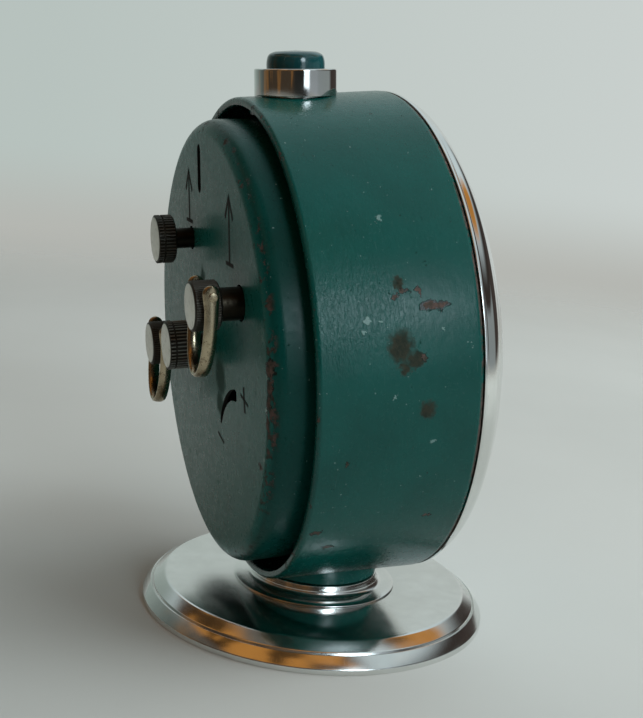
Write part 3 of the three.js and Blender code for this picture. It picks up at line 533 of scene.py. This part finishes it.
# dark steel for the shafts, also used as painted shade on the regulator lever
shaft_steel_and_shade = metal("shaft_steel_and_shade", (0.03, 0.025, 0.018), 0.3, (0.02, 0.015, 0.01), scratches=0.5)
button_plastic = plastic("button_plastic", (0.004, 0.045, 0.048))
dial_paint = paint("dial_paint", (0.78, 0.74, 0.62), (0.55, 0.44, 0.27), 0.55, 0.2)
black_print = paint("black_print", (0.014, 0.014, 0.016), (0.03, 0.027, 0.02), 0.4)
red_paint = paint("red_paint", (0.42, 0.03, 0.015), (0.2, 0.02, 0.01), 0.4)
lume_paint = paint("lume_paint", (0.5, 0.55, 0.34), (0.34, 0.3, 0.14), 0.75)
mark_paint = paint("mark_paint", (0.0015, 0.003, 0.0025), (0.003, 0.004, 0.003), 0.9)
pad_felt = felt("pad_felt", (0.03, 0.05, 0.035))
crystal_clear = clear("crystal_clear")
movement_brass = metal("movement_brass", (0.64, 0.45, 0.17), 0.28, (0.12, 0.06, 0.02), scratches=0.5)
movement_steel = metal("movement_steel", (0.42, 0.42, 0.43), 0.3, (0.05, 0.04, 0.03), scratches=0.5)
blued_steel = metal("blued_steel", (0.05, 0.08, 0.2), 0.22, (0.02, 0.015, 0.02), scratches=0.3)


# ---------------------------------------------------------------- mesh helpers


SHARP_ANGLE = 32  # degrees above which an edge is shaded sharp


def finish_mesh(bm, name, place, look, sharp=SHARP_ANGLE):
    """Makes a piece from the mesh built in bm, in its place and with its material."""
    bmesh.ops.remove_doubles(bm, verts=bm.verts, dist=1e-7)
    bmesh.ops.recalc_face_normals(bm, faces=bm.faces)
    mesh = bpy.data.meshes.new(name)
    bm.to_mesh(mesh)
    bm.free()
    mesh.shade_smooth()
    mesh.set_sharp_from_angle(angle=math.radians(sharp))
    piece = bpy.data.objects.new(name, mesh)
    piece.matrix_world = place
    mesh.materials.append(look)
    SCENE.collection.objects.link(piece)
    return piece


def settle(piece, body, slot, *nodes):
    """The piece rides on a body and stands for CAD nodes. Its slot is not used."""
    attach(piece, body)
    if nodes:
        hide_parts(*nodes)
    return piece


def softened(outline, radius, steps=3):
    """The outline with each corner off the axis rounded. It is closed unless it ends on the axis."""
    count = len(outline)
    made = []
    for i, corner in enumerate(outline):
        here = Vector(corner[:2])
        if here.x < TINY:
            made.append(tuple(here))
            continue
        before, after = Vector(outline[i - 1][:2]), Vector(outline[(i + 1) % count][:2])
        back, on = before - here, after - here
        reach = min(corner[2] if len(corner) > 2 else radius, back.length * 0.45, on.length * 0.45)
        start, end = here + back.normalized() * reach, here + on.normalized() * reach
        for k in range(steps + 1):
            t = k / steps
            made.append(tuple(start * (1 - t) ** 2 + here * (2 * t * (1 - t)) + end * t**2))
    return made


def skin_rings(bm, rings):
    """Joins each ring of corners to the next one, and closes both ends."""
    for near, far in zip(rings, rings[1:]):
        for i in range(len(near)):
            j = (i + 1) % len(near)
            bm.faces.new((near[i], near[j], far[j], far[i]))
    bm.faces.new(rings[0])
    bm.faces.new(rings[-1])


def lathe(name, outline, place, look, segments=160, ripple=None, sharp=SHARP_ANGLE):
    """Turns an outline of (radius, y) about the local Y axis."""
    bm = bmesh.new()
    rings = []
    for radius, y in outline:
        if radius < TINY:
            rings.append([bm.verts.new((0, y * MM, 0))] * segments)
            continue
        ring = []
        for i in range(segments):
            angle = 2 * math.pi * i / segments
            r = (radius - (ripple(radius, y, i) if ripple else 0)) * MM
            ring.append(bm.verts.new((r * math.cos(angle), y * MM, r * math.sin(angle))))
        rings.append(ring)
    if outline[0][0] > TINY:
        rings.append(rings[0])
    for near, far in zip(rings, rings[1:]):
        for i in range(segments):
            j = (i + 1) % segments
            corners = list(dict.fromkeys((near[i], near[j], far[j], far[i])))
            if len(corners) > 2:
                bm.faces.new(corners)
    return finish_mesh(bm, name, place, look, sharp)


def plate(name, outline, y, thickness, place, look):
    """A flat plate with its outline in x and z, from y on."""
    bm = bmesh.new()
    skin_rings(bm, [[bm.verts.new((x * MM, level * MM, z * MM)) for x, z in outline]
                    for level in (y, y + thickness)])
    return finish_mesh(bm, name, place, look)


def arc(radius, start, end, steps, centre=(0, 0)):
    """Points on an arc, with its angles in degrees."""
    return [
        (centre[0] + radius * math.cos(math.radians(start + (end - start) * i / steps)),
         centre[1] + radius * math.sin(math.radians(start + (end - start) * i / steps)))
        for i in range(steps + 1)
    ]


def joined(pieces, name):
    """Several meshes as one piece, with the first one's place."""
    first = pieces[0]
    bm = bmesh.new()
    looks = []
    for piece in pieces:
        looks += [m for m in piece.data.materials if m not in looks]
    for piece in pieces:
        mesh = piece.data
        mesh.transform(first.matrix_world.inverted() @ piece.matrix_world)
        start = len(bm.faces)
        bm.from_mesh(mesh)
        bm.faces.ensure_lookup_table()
        for face in bm.faces[start:]:
            face.material_index = looks.index(mesh.materials[0])
    mesh = bpy.data.meshes.new(name)
    bm.to_mesh(mesh)
    bm.free()
    for look in looks:
        mesh.materials.append(look)
    for piece in pieces[1:]:
        bpy.data.objects.remove(piece)
    first.data = mesh
    first.name = name
    return first


def cut(piece, cutters):
    """Cuts the cutters out of the piece, and removes them."""
    for cutter in cutters:
        modifier = piece.modifiers.new("cut", "BOOLEAN")
        modifier.operation = "DIFFERENCE"
        modifier.solver = "EXACT"
        modifier.material_mode = "TRANSFER"
        modifier.object = cutter
    graph = bpy.context.evaluated_depsgraph_get()
    mesh = bpy.data.meshes.new_from_object(piece.evaluated_get(graph))
    piece.modifiers.clear()
    piece.data = mesh
    mesh.set_sharp_from_angle(angle=math.radians(SHARP_ANGLE))
    for cutter in cutters:
        bpy.data.objects.remove(cutter)
    return piece


CUT_DEPTH = 2  # how far a cutter reaches to each side of the cover's face


def disc_cutter(radius, x, z):
    """Cuts a round hole in the cover."""
    low, high = COVER_FACE_Y - CUT_DEPTH, COVER_FACE_Y + CUT_DEPTH
    outline = [(0, low), (radius, low), (radius, high), (0, high)]
    return lathe("cutter", outline, in_case(x, 0, z), mark_paint, 48)


# ---------------------------------------------------------------- case, cover and front


def make_case():
    shell = softened([
        (42.57, -0.45, 0.35), (42.8, 0.0, 0.2), (43.75, 0.0, 0.3), (44.1, -0.5, 0.4),
        (45.0, -26.9, 0.2), (44.9, -27.5, 0.3), (44.4, CASE_FRONT_Y, 0.2), (43.6, CASE_FRONT_Y, 0.1),
        (43.2, -2.0, 0.3), (42.57, -1.6, 0.3),
    ], 0.3, 4)
    drum = lathe("drum_shell", shell, CASE, drum_enamel, 256)
    settle(drum, "clock_case", "case_enamel", "case_drum")

    spacer = softened([(3.2, 7.8), (12.0, 7.8, 0.25), (12.0, 13.0), (3.2, 13.0)], 0.05)
    boss = lathe("painted_boss", spacer, UPRIGHT, boss_enamel, 96)
    hollow = lathe("cutter", [(0, -40), (45.2, -40), (44.2, 10), (0, 10)], CASE, boss_enamel, 256)
    cut(boss, [hollow])
    settle(boss, "clock_case", "case_enamel", "case_boss")


def make_cover():
    shoulder_at = (37.4, COVER_FACE_Y - 2.9)
    shoulder = arc(2.9, 90, 0, 10, shoulder_at)
    inside = arc(2.2, 0, 90, 6, shoulder_at)
    outline = [(0, COVER_FACE_Y), *shoulder, (40.3, -7), (39.6, -7), *inside, (0, COVER_FACE_Y - 0.7)]
    pan = lathe("cover_pan", outline, CASE, cover_enamel, 224)
    holes = ((3.1, TIME_KEY), (3.1, ALARM_KEY), (2.2, SET_KNOB), (2.2, ALARM_KNOB))
    cutters = [disc_cutter(radius, *spot[:2]) for radius, spot in holes]
    cut(pan, [*cutters, sound_slot_cutter(), regulator_slot_cutter()])
    settle(pan, "clock_case", "cover_enamel", "rear_cover")


def slot_cutter(outline):
    return plate("cutter", outline, COVER_FACE_Y - CUT_DEPTH, 2 * CUT_DEPTH, CASE, mark_paint)


def sound_slot_cutter():
    x, half_width = SOUND_SLOT["x"], SOUND_SLOT["half_width"]
    top = arc(half_width, 0, 180, 8, (x, SOUND_SLOT["high"]))
    bottom = arc(half_width, 180, 360, 8, (x, SOUND_SLOT["low"]))
    return slot_cutter([*top, *bottom])


def regulator_slot_cutter():
    """An arc about the balance staff that widens from its narrow tail, with its corners taken off."""
    outer, inner = [], []
    steps = 20
    for i in range(steps + 1):
        share = i / steps
        half = REGULATOR_SLOT["narrow"] + (REGULATOR_SLOT["wide"] - REGULATOR_SLOT["narrow"]) * share
        half *= {0: 0.5, steps: 0.7}.get(i, 1)
        angle = math.radians(REGULATOR_SLOT["start"] + REGULATOR_SLOT["sweep"] * share)
        for side, sign in ((outer, 1), (inner, -1)):
            reach = REGULATOR_SLOT["reach"] + sign * half
            side.append((BALANCE[0] + reach * math.cos(angle), BALANCE[1] + reach * math.sin(angle)))
    return slot_cutter([*outer, *inner[::-1]])


def stroke(points, width):
    """The outline of a line of a given width through some points."""
    left, right = [], []
    for i, point in enumerate(points):
        here = Vector(point)
        before = Vector(points[max(i - 1, 0)])
        after = Vector(points[min(i + 1, len(points) - 1)])
        along = (after - before).normalized()
        across = Vector((-along.y, along.x)) * width / 2
        left.append(tuple(here + across))
        right.append(tuple(here - across))
    return left + right[::-1]


def make_marks():
    """Signs for faster and slower by the regulator, and a plain arrow above each key."""
    y, thickness = COVER_FACE_Y - 0.03, 0.06
    marks = []

    def mark(points, width):
        marks.append(plate("mark", stroke(points, width), y, thickness, CASE, mark_paint))

    mark([(-23.9, -2.5), (-24.5, -6.85)], 0.9)
    mark([(-26.6, -5.1), (-22.0, -4.25)], 0.5)
    mark([(-10.3, -16.3), (-6.3, -15.35)], 0.5)
    barb, barb_drop = 2.4, 3.8
    for x, low, high in ((-16.3, 17.0, 28.5), (12.4, 21.0, 30.5)):
        mark([(x, low), (x, high)], 0.9)
        mark([(x - barb, high - barb_drop), (x, high), (x + barb, high - barb_drop)], 0.9)
        mark([(x - barb, low), (x + barb, low)], 0.7)
    settle(joined(marks, "cover_marks"), "clock_case", "cover_enamel")


def make_front():
    rear = CASE_FRONT_Y - 0.06
    bezel = softened([
        (42.55, rear), (44.95, rear, 0.12), (44.95, rear - 0.55, 0.2), (44.5, rear - 0.8, 0.15),
        (44.05, rear - 2.2, 0.8), (42.9, rear - 3.5, 0.9), (41.0, rear - 4.5, 0.8), (39.0, -33.9, 0.35),
        (38.4, -33.6, 0.25), (38.4, -32.7, 0.1), (42.05, -30.1, 0.2),
    ], 0.2, 4)
    bezel_ring = lathe("bezel_ring", bezel, CASE, mirror_chrome, 256)
    settle(bezel_ring, "clock_case", "bright_chrome", "front_bezel")

    dome = softened([
        (0, -39.3), (16, -38.8, 4), (28, -37.7, 4), (34, -36.6, 2), (36.8, -35.0, 1.4), (38, -32.9, 1),
        (38, -31.9, 0.1), (36.8, -31.9, 0.1), (36.7, -33.1, 1), (34, -35.2, 2), (26, -36.6, 4), (0, -38.1),
    ], 1, 4)
    crystal_dome = lathe("crystal_dome", dome, CASE, crystal_clear, 192)
    settle(crystal_dome, "clock_case", "clear_acrylic", "crystal")

    ring = softened([
        (36.9, -31.6), (39.3, -31.6), (41.5, -30.1), (41.5, -28.1), (40.4, -28.1, 0.1),
    ], 0.15)
    inner_ring = lathe("inner_ring", ring, CASE, satin_steel, 192)
    settle(inner_ring, "clock_case", "ring_steel", "crystal_ring")


PRINT_Y = -27.86
PRINT_THICKNESS = 0.08
NUMERAL_REACH = 30.8
NUMERAL_SIZE = 7.4
LUME_REACH = 34.9


def make_dial():
    face = lathe("dial_plate", softened([
        (3.8, -27.8), (3.8, -27.2), (43.2, -27.2), (43.2, -27.8, 0.05), (24.5, -27.8), (24.3, -27.72),
        (24.1, -27.8),
    ], 0.05, 2), CASE, dial_paint, 192)
    settle(face, "clock_case", "dial_paint", "dial")
    prints = [*dial_ticks(), *dial_rings(), *dial_numerals()]
    settle(joined(prints, "dial_print"), "clock_case", "dial_paint")
    settle(joined(lume_dots(), "lume_dots"), "clock_case", "dial_paint")


def dial_ticks():
    made = []
    for minute in range(60):
        inner, outer, half = (36.4, 39.6, 0.42) if minute % 5 == 0 else (38.0, 39.6, 0.13)
        turned = Matrix.Rotation(math.radians(6 * minute), 4, "Y")
        outline = [(-half, inner), (half, inner), (half, outer), (-half, outer)]
        made.append(plate("tick", outline, PRINT_Y, PRINT_THICKNESS, CASE @ turned, black_print))
    return made


def dial_rings():
    made = []
    for inner in (25.4, 36.2):
        outer, rear = inner + 0.22, PRINT_Y + PRINT_THICKNESS
        outline = [(inner, PRINT_Y), (outer, PRINT_Y), (outer, rear), (inner, rear)]
        made.append(lathe("ring", outline, CASE, black_print, 160))
    return made


def dial_numerals():
    made = []
    for hour in range(1, 13):
        angle = math.radians(90 - 30 * hour)
        numeral = text_mesh(str(hour), NUMERAL_SIZE)
        place = in_case(NUMERAL_REACH * math.cos(angle), PRINT_Y, NUMERAL_REACH * math.sin(angle))
        numeral.matrix_world = place @ UPRIGHT
        numeral.data.materials.append(black_print)
        made.append(numeral)
    return made


def lume_dots():
    outline = [(0, PRINT_Y - 0.06), (0.7, PRINT_Y - 0.02), (0.85, PRINT_Y + 0.06), (0, PRINT_Y + 0.06)]
    made = []
    for hour in range(12):
        angle = math.radians(30 * hour)
        place = in_case(LUME_REACH * math.cos(angle), 0, LUME_REACH * math.sin(angle))
        made.append(lathe("dot", outline, place, lume_paint, 20))
    return made


def text_mesh(text, size):
    """A numeral as a mesh, in the plane of its local X and Y."""
    curve = bpy.data.curves.new("numeral", "FONT")
    curve.body = text
    curve.size = size * MM
    curve.align_x = "CENTER"
    curve.align_y = "CENTER"
    curve.extrude = 0.04 * MM
    letters = bpy.data.objects.new("numeral", curve)
    SCENE.collection.objects.link(letters)
    bpy.context.view_layer.update()
    graph = bpy.context.evaluated_depsgraph_get()
    mesh = bpy.data.meshes.new_from_object(letters.evaluated_get(graph))
    bpy.data.objects.remove(letters)
    made = bpy.data.objects.new("numeral", mesh)
    SCENE.collection.objects.link(made)
    return made


# ---------------------------------------------------------------- button, pedestal


def make_button():
    place = in_case(0, BUTTON_Y, 0) @ UPRIGHT
    seat = 44.75  # where the collar rests on the drum
    skirt = softened([
        (5.6, 41.6), (6.2, 41.6), (6.2, seat + 0.1), (7.48, seat - 0.5), (7.48, 49.0, 0.35),
        (5.75, 49.0, 0.25), (5.6, 48.6, 0.1),
    ], 0.1, 4)
    collar = lathe("collar_ring", skirt, place, mirror_chrome, 128)
    washer = softened([(1.8, 40.8), (6.2, 40.8), (6.2, 41.6), (1.8, 41.6)], 0.05)
    floor = lathe("collar_floor", washer, place, mirror_chrome, 64)
    settle(joined([collar, floor], "collar"), "clock_case", "bright_chrome", "button_collar")
    cap = softened([
        (0, 47.0), (5.25, 47.0, 0.1), (5.25, 50.2, 0.8), (4.95, 51.4, 0.8), (3.9, 51.95, 0.8), (0, 52.2),
    ], 0.3, 6)
    button = lathe("button_cap", cap, place, button_plastic, 128)
    rod = softened([(0, 37.6), (1.5, 37.6), (1.5, 47.3), (0, 47.3)], 0.2)
    stem = lathe("button_stem", rod, place, button_plastic, 32)
    settle(joined([button, stem], "button"), "button", "teal_plastic", "top_button")


def make_spring():
    """The coil under the button, on a mesh of its own."""
    place = in_case(0, BUTTON_Y, 0)
    low, high, radius, wire = 42.25, 46.35, 3.0, 0.35
    turns, steps, sides = 3.5, 28, 10
    count = int(turns * steps)
    bm = bmesh.new()
    rings = []
    for i in range(count + 1):
        angle = 2 * math.pi * i / steps
        rise = low + (high - low) * i / count
        ring = []
        for side in range(sides):
            around = 2 * math.pi * side / sides
            away = radius + wire * math.cos(around)
            height = rise + wire * math.sin(around)
            corner = Vector((away * math.cos(angle), away * math.sin(angle), height))
            ring.append(bm.verts.new(corner * MM))
        rings.append(ring)
    skin_rings(bm, rings)
    spring = finish_mesh(bm, "return_spring", place, movement_steel, 50)
    settle(spring, "clock_case", "movement_steel", "button_spring")
    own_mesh(spring)


def make_pedestal():
    disc = softened([
        (32.7, 0.0), (33.5, 0.0, 0.15), (33.5, 1.0, 0.2), (31.95, 3.1, 0.15), (31.75, 2.75, 0.05),
        (31.5, 3.35, 0.12), (29.55, 4.78, 0.25), (29.2, 4.9, 0.3), (3.2, 4.95), (3.2, 4.1), (28.6, 4.1),
        (30.8, 2.5), (32.7, 0.7),
    ], 0.1, 4)
    foot_disc = lathe("foot_disc", disc, UPRIGHT, spun_chrome, 256)
    settle(foot_disc, "clock_case", "bright_chrome", "base_disc")
    hollow = arc(1.25, 262, 180, 6, (13.45, 6.7))
    outline = softened([
        (3.2, 4.97), (15.8, 4.97, 0.1), (15.8, 5.2, 0.1), (14.9, 5.38, 0.3), *hollow,
        (12.2, 7.55, 0.12), (11.9, 7.65, 0.1), (3.2, 7.65),
    ], 0.15, 3)
    neck = lathe("neck", outline, UPRIGHT, spun_chrome, 160)
    settle(neck, "clock_case", "bright_chrome", "pedestal_neck")


# ---------------------------------------------------------------- keys and knobs


def ridges(top, teeth_step, depth, bands):
    """A ripple that cuts grooves along the axis where the outline is at its full radius."""
    def ripple(radius, y, i):
        inside = any(low <= y <= high for low, high in bands)
        return depth if inside and radius > top and i % teeth_step >= teeth_step // 2 else 0
    return ripple


def darken_shaft(piece, front):
    """The shaft in front of a head is darker steel."""
    piece.data.materials.append(shaft_steel_and_shade)
    for face in piece.data.polygons:
        if face.center.y < (front - 0.05) * MM:
            face.material_index = 1


def make_knob(name, spot, body, look, node, radius, length, teeth):
    x, z, rear = spot
    front = rear - length
    band = rear - 1.05  # a groove parts the thin rear band of teeth from the main one
    shaft, core, root = 1.9, 1.55, COVER_FACE_Y - 1
    outline = [
        (0, rear - 0.02), (radius - 0.9, rear), (radius - 0.35, rear - 0.08), (radius - 0.12, rear - 0.22),
        (radius, rear - 0.24), (radius, band + 0.02), (radius - 0.32, band), (radius - 0.32, band - 0.3),
        (radius, band - 0.32), (radius, front + 0.3), (radius - 0.12, front + 0.2),
        (radius - 0.35, front), (2.4, front - 0.02), (shaft, front - 0.35), (shaft, root),
        (core, root), (core, rear - 1.6), (0, rear - 1.6),
    ]
    ripple = ridges(radius - 0.06, 4, 0.28, [(front, band - 0.31), (band, rear)])
    piece = lathe(name, outline, in_case(x, 0, z), look, teeth * 4, ripple, 24)
    darken_shaft(piece, front)
    settle(piece, body, "aged_nickel", node)


def make_key(name, spot, body, node):
    x, z, rear = spot
    front = rear - 4.7
    radius = KEY_RADIUS
    shaft, core, root = 2.8, 1.9, COVER_FACE_Y - 1
    outline = [
        (0, rear), (radius - 0.5, rear), (radius - 0.2, rear - 0.1), (radius - 0.05, rear - 0.3),
        (radius, rear - 0.32), (radius, front + 0.4), (radius - 0.05, front + 0.36),
        (radius - 0.3, front + 0.1), (radius - 0.6, front), (3.0, front - 0.02), (shaft, front - 0.25),
        (shaft, root), (core, root), (core, front + 1.8), (0, front + 1.8),
    ]
    ripple = ridges(radius - 0.02, 4, 0.1, [(front, rear)])
    piece = lathe(name, outline, in_case(x, 0, z), key_nickel, 60 * 4, ripple, 24)
    darken_shaft(piece, front)
    settle(piece, body, "aged_nickel", node)


# A quarter of the strap's section: half the thickness in millimetres, at a share of half the width.
STRAP_QUARTER = [(0.06, 1.0), (0.19, 0.93), (0.31, 0.77), (0.4, 0.52), (0.455, 0.26), (0.475, 0.07)]


def strap_section():
    half = STRAP_QUARTER + [(u, -v) for u, v in reversed(STRAP_QUARTER)]
    return half + [(-u, v) for u, v in reversed(half)]


def bail_path():
    """From lug to lug round the loop, as (x, z, half width, set back) with the pivot at the origin."""
    lug = [(5.12, 1.85 - 1.3 + 1.3 * math.sin(a), 1.42 * math.cos(a), 0.3) for a in
           (math.radians(d) for d in (86, 75, 60, 45, 30, 15))]
    leg = [(5.13, 0.4, 1.42, 0.3), (5.16, -0.8, 1.32, 0.2), (5.22, -2.2, 1.18, 0.05), (5.3, -4.0, 1.125, 0)]
    loop = [(x, 1.45 * z + 2.9, 1.125, 0) for x, z in arc(5.35, 0, -90, 16, (0, -6.2))]
    right = [*lug, *leg, *loop]
    left = [(-x, z, width, back) for x, z, width, back in reversed(right[:-1])]
    return right + left


def make_bail(name, spot, body, node):
    x, z, rear = spot
    pivot = CASE @ Vector((x * MM, (rear - 2.65) * MM, (z + 2.3) * MM))
    place = Matrix.Translation(pivot)
    section = strap_section()
    path = bail_path()
    bm = bmesh.new()
    rings = []
    for i, (px, pz, width, back) in enumerate(path):
        before, after = path[max(i - 1, 0)], path[min(i + 1, len(path) - 1)]
        along = Vector((after[0] - before[0], after[1] - before[1])).normalized()
        across = Vector((along.y, -along.x))
        corners = [((px + across.x * u) * MM, (back + v * width) * MM, (pz + across.y * u) * MM)
                   for u, v in section]
        rings.append([bm.verts.new(corner) for corner in corners])
    skin_rings(bm, rings)
    strap = finish_mesh(bm, name + "_strap", place, bail_nickel, 40)
    rivet = softened([
        (0, 3.6), (0.55, 3.6), (0.55, 5.62), (0.8, 5.62, 0.1), (0.75, 5.78, 0.15), (0, 5.85),
    ], 0.1)
    pins = []
    for side in (-1, 1):
        turned = Matrix.Rotation(-side * math.pi / 2, 4, "Z")
        pins.append(lathe("pin", rivet, place @ turned, bail_nickel, 28))
    settle(joined([strap, *pins], name), body, "aged_nickel", node)


# ---------------------------------------------------------------- carried-over nodes


def dress_nodes():
    """Finishes for the CAD nodes that stay in view or sit inside the movement."""
    looks = {
        "movement_brass": movement_brass, "movement_steel": movement_steel, "blued_steel": blued_steel,
        "hand_paint": black_print, "alarm_hand_paint": red_paint, "foot_felt": pad_felt,
    }
    slots = {row["node"]: row["material_slot"] for row in frame["record"]["subparts"]}
    for name, node in frame["nodes"].items():
        # the regulator lever, seen through its slot, gets the dark shaft steel as painted shade
        look = shaft_steel_and_shade if name == "regulator_lever" else looks.get(slots.get(name))
        if look:
            for entry in node.material_slots:
                entry.material = look


# ---------------------------------------------------------------- world and floor


RAMP_START = 10  # the bearing at which the ramps round the room start, in degrees
NOTHING, ALL = (0, 0, 0), (1, 1, 1)
DARK_GAP = (0.02, 0.02, 0.018)
SHELF = (0.05, 0.036, 0.024)
DARK_WOOD = (0.05, 0.026, 0.01)
LIT_WOOD = (0.5, 0.22, 0.05)
CURTAIN = (0.04, 0.032, 0.028)
HORIZON = (-0.03, -0.08)  # between these heights the wall gives way to the table


class Room(Graph):
    """The world's node tree. A bearing goes from -X towards -Y; height is one overhead."""

    def __init__(self, tree):
        super().__init__(tree)
        self.way = self.node("ShaderNodeTexCoord").outputs["Generated"]
        x, y, z = self.split(self.way)[:3]
        self.bearing = self.math("ARCTAN2", self.math("MULTIPLY", y, -1.0), self.math("MULTIPLY", x, -1.0))
        turns = self.math("DIVIDE", self.bearing, 2 * math.pi)
        self.turn = self.math("FRACT", self.math("ADD", turns, 1 - RAMP_START / 360))
        self.height = self.math("DIVIDE", self.math("ARCSINE", z), math.pi / 2)

    def ramp(self, *stops):
        """A colour that changes round the room. A stop is in degrees past the ramps' start."""
        made = self.node("ShaderNodeValToRGB")
        elements = made.color_ramp.elements
        while len(elements) < len(stops):
            elements.new(0.5)
        for element, (degrees, color) in zip(elements, stops):
            element.position = degrees / 360
            element.color = (*color, 1)
        self.put(made.inputs[0], self.turn)
        return made.outputs[0]

    def band(self, value, low, low_full, high_full, high):
        """One from low_full to high_full, falling to nothing at low and high."""
        return self.math("MULTIPLY", self.step(value, low, low_full), self.step(value, high, high_full))

    def walls(self, wood, patches, far_side):
        """Pale walls, shelves on the far side and a curtain, standing round the table."""
        level = self.ramp(
            (0, DARK_GAP), (12, (0.3, 0.33, 0.35)), (32, (0.3, 0.33, 0.35)), (38, (0.26, 0.29, 0.3)),
            (76, (0.26, 0.29, 0.29)), (86, (0.05, 0.038, 0.034)), (118, (0.06, 0.05, 0.045)),
            (126, (0.62, 0.66, 0.645)), (163, (0.475, 0.54, 0.515)), (190, (0.3, 0.36, 0.335)),
            (225, (0.1, 0.12, 0.11)), (250, SHELF), (322, SHELF), (332, DARK_GAP),
        )
        quarter = (0.25, 0.25, 0.25)
        shelves = self.ramp((0, NOTHING), (200, NOTHING), (235, quarter), (325, quarter), (332, NOTHING))
        level = self.mix(self.math("MULTIPLY", shelves, patches), level, wood)
        table = self.ramp(
            (0, (0.16, 0.16, 0.15)), (40, (0.48, 0.49, 0.46)), (165, (0.48, 0.5, 0.47)),
            (215, (0.2, 0.21, 0.2)), (250, (0.14, 0.14, 0.13)), (360, (0.16, 0.16, 0.15)),
        )
        below = self.math("ADD", self.height, self.math("MULTIPLY", far_side, 0.12))
        level = self.mix(self.step(below, *HORIZON), level, table)
        curtain = self.ramp((0, NOTHING), (26, NOTHING), (34, ALL), (116, ALL), (122, NOTHING))
        curtain = self.math("MULTIPLY", curtain, self.step(self.height, 0.12, 0.18))
        return self.mix(curtain, level, CURTAIN)

    def reflected(self):
        """What the clock reflects: walls, a ceiling with wood above, and a window with bright sky."""
        grain = self.noise(self.vector("MULTIPLY", self.way, (3.0, 3.0, 0.6)), 1.5, 2, 0.5)
        patches = self.step(grain, 0.47, 0.53)
        wood = self.mix(patches, DARK_WOOD, LIT_WOOD)
        far_side = self.ramp((0, ALL), (12, NOTHING), (205, NOTHING), (235, ALL), (360, ALL))
        level = self.walls(wood, patches, far_side)

        overhead = self.mix(far_side, (0.62, 0.72, 0.75), (0.12, 0.12, 0.11))
        room = self.mix(self.step(self.height, 0.22, 0.45), level, overhead)
        tenth = (0.1, 0.1, 0.1)
        wooded = self.ramp((0, ALL), (20, tenth), (60, tenth), (70, ALL), (92, ALL), (100, NOTHING),
                           (180, NOTHING), (195, ALL), (360, ALL))
        beam = self.band(self.height, 0.34, 0.42, 0.68, 0.76)
        room = self.mix(self.math("MULTIPLY", beam, wooded), room, wood)

        across = self.band(self.bearing, *(math.radians(degrees) for degrees in (3, 7, 16, 23)))
        upright = self.band(self.height, -0.05, -0.01, 0.4, 0.5)
        room = self.mix(self.math("MULTIPLY", across, upright), room, (1.7, 1.95, 2.1))
        closeness = self.vector("DOT_PRODUCT", self.way, direction(11, 22))
        sky = self.step(closeness, math.cos(math.radians(10)), math.cos(math.radians(5)))
        return self.mix(sky, room, (7.5, 9.0, 9.8))

    def backdrop(self):
        """What is seen directly: a plain pale wall, and the table running out to it."""
        wall = self.ramp((0, (0.55, 0.59, 0.57)), (126, (0.62, 0.66, 0.645)), (163, (0.475, 0.54, 0.515)),
                         (200, (0.45, 0.5, 0.48)), (360, (0.55, 0.59, 0.57)))
        return self.mix(self.step(self.height, *HORIZON), wall, (0.46, 0.47, 0.44))


def make_world():
    world = bpy.data.worlds.new("room")
    SCENE.world = world
    world.use_nodes = True
    room = Room(world.node_tree)
    camera_ray = room.node("ShaderNodeLightPath").outputs["Is Camera Ray"]
    background = room.node("ShaderNodeBackground")
    room.put(background.inputs["Color"], room.mix(camera_ray, room.reflected(), room.backdrop()))
    output = room.node("ShaderNodeOutputWorld")
    room.tree.links.new(background.outputs[0], output.inputs[0])


def make_floor():
    """A pale table that fades out before its edge."""
    bpy.ops.mesh.primitive_circle_add(vertices=128, radius=1.0, fill_type="NGON")
    floor = bpy.context.object
    floor.name = "table_top"
    s = Surface("table_surface")
    cloud = s.noise(s.mm, 0.006, 4, 0.5)
    base = s.mix(s.step(cloud, 0.3, 0.7), (0.49, 0.505, 0.48), (0.53, 0.545, 0.52))
    s.set(Base_Color=base, Roughness=0.75, Normal=s.bump(s.noise(s.mm, 0.8, 4), 0.05, 0.1 * MM))
    away = s.vector("LENGTH", s.mm)
    s.set(Alpha=s.step(away, 620.0, 260.0))
    floor.data.materials.append(s.material)


area_light("window", 82, 22, 1.0, (1.0, 0.6), 10.5, (0.9, 0.97, 1.0))
area_light("skylight", 45, 52, 1.0, (0.6, 0.6), 3.0, (0.9, 0.97, 1.0))
make_world()
make_floor()
make_case()
make_cover()
make_marks()
make_front()
make_dial()
make_button()
make_spring()
make_pedestal()
make_knob("centre_knob", SET_KNOB, "minute_drive", centre_nickel, "set_knob",
          CENTRE_KNOB_RADIUS, 5.4, 40)
make_knob("alarm_knob", ALARM_KNOB, "alarm_setter", alarm_nickel, "alarm_set_knob",
          ALARM_KNOB_RADIUS, 3.4, 44)
make_key("time_winder_key", TIME_KEY, "time_winder", "time_key")
make_key("alarm_winder_key", ALARM_KEY, "alarm_winder", "alarm_key")
make_bail("time_key_bail", TIME_KEY, "time_bail", "time_bail")
make_bail("alarm_key_bail", ALARM_KEY, "alarm_bail", "alarm_bail")
dress_nodes()
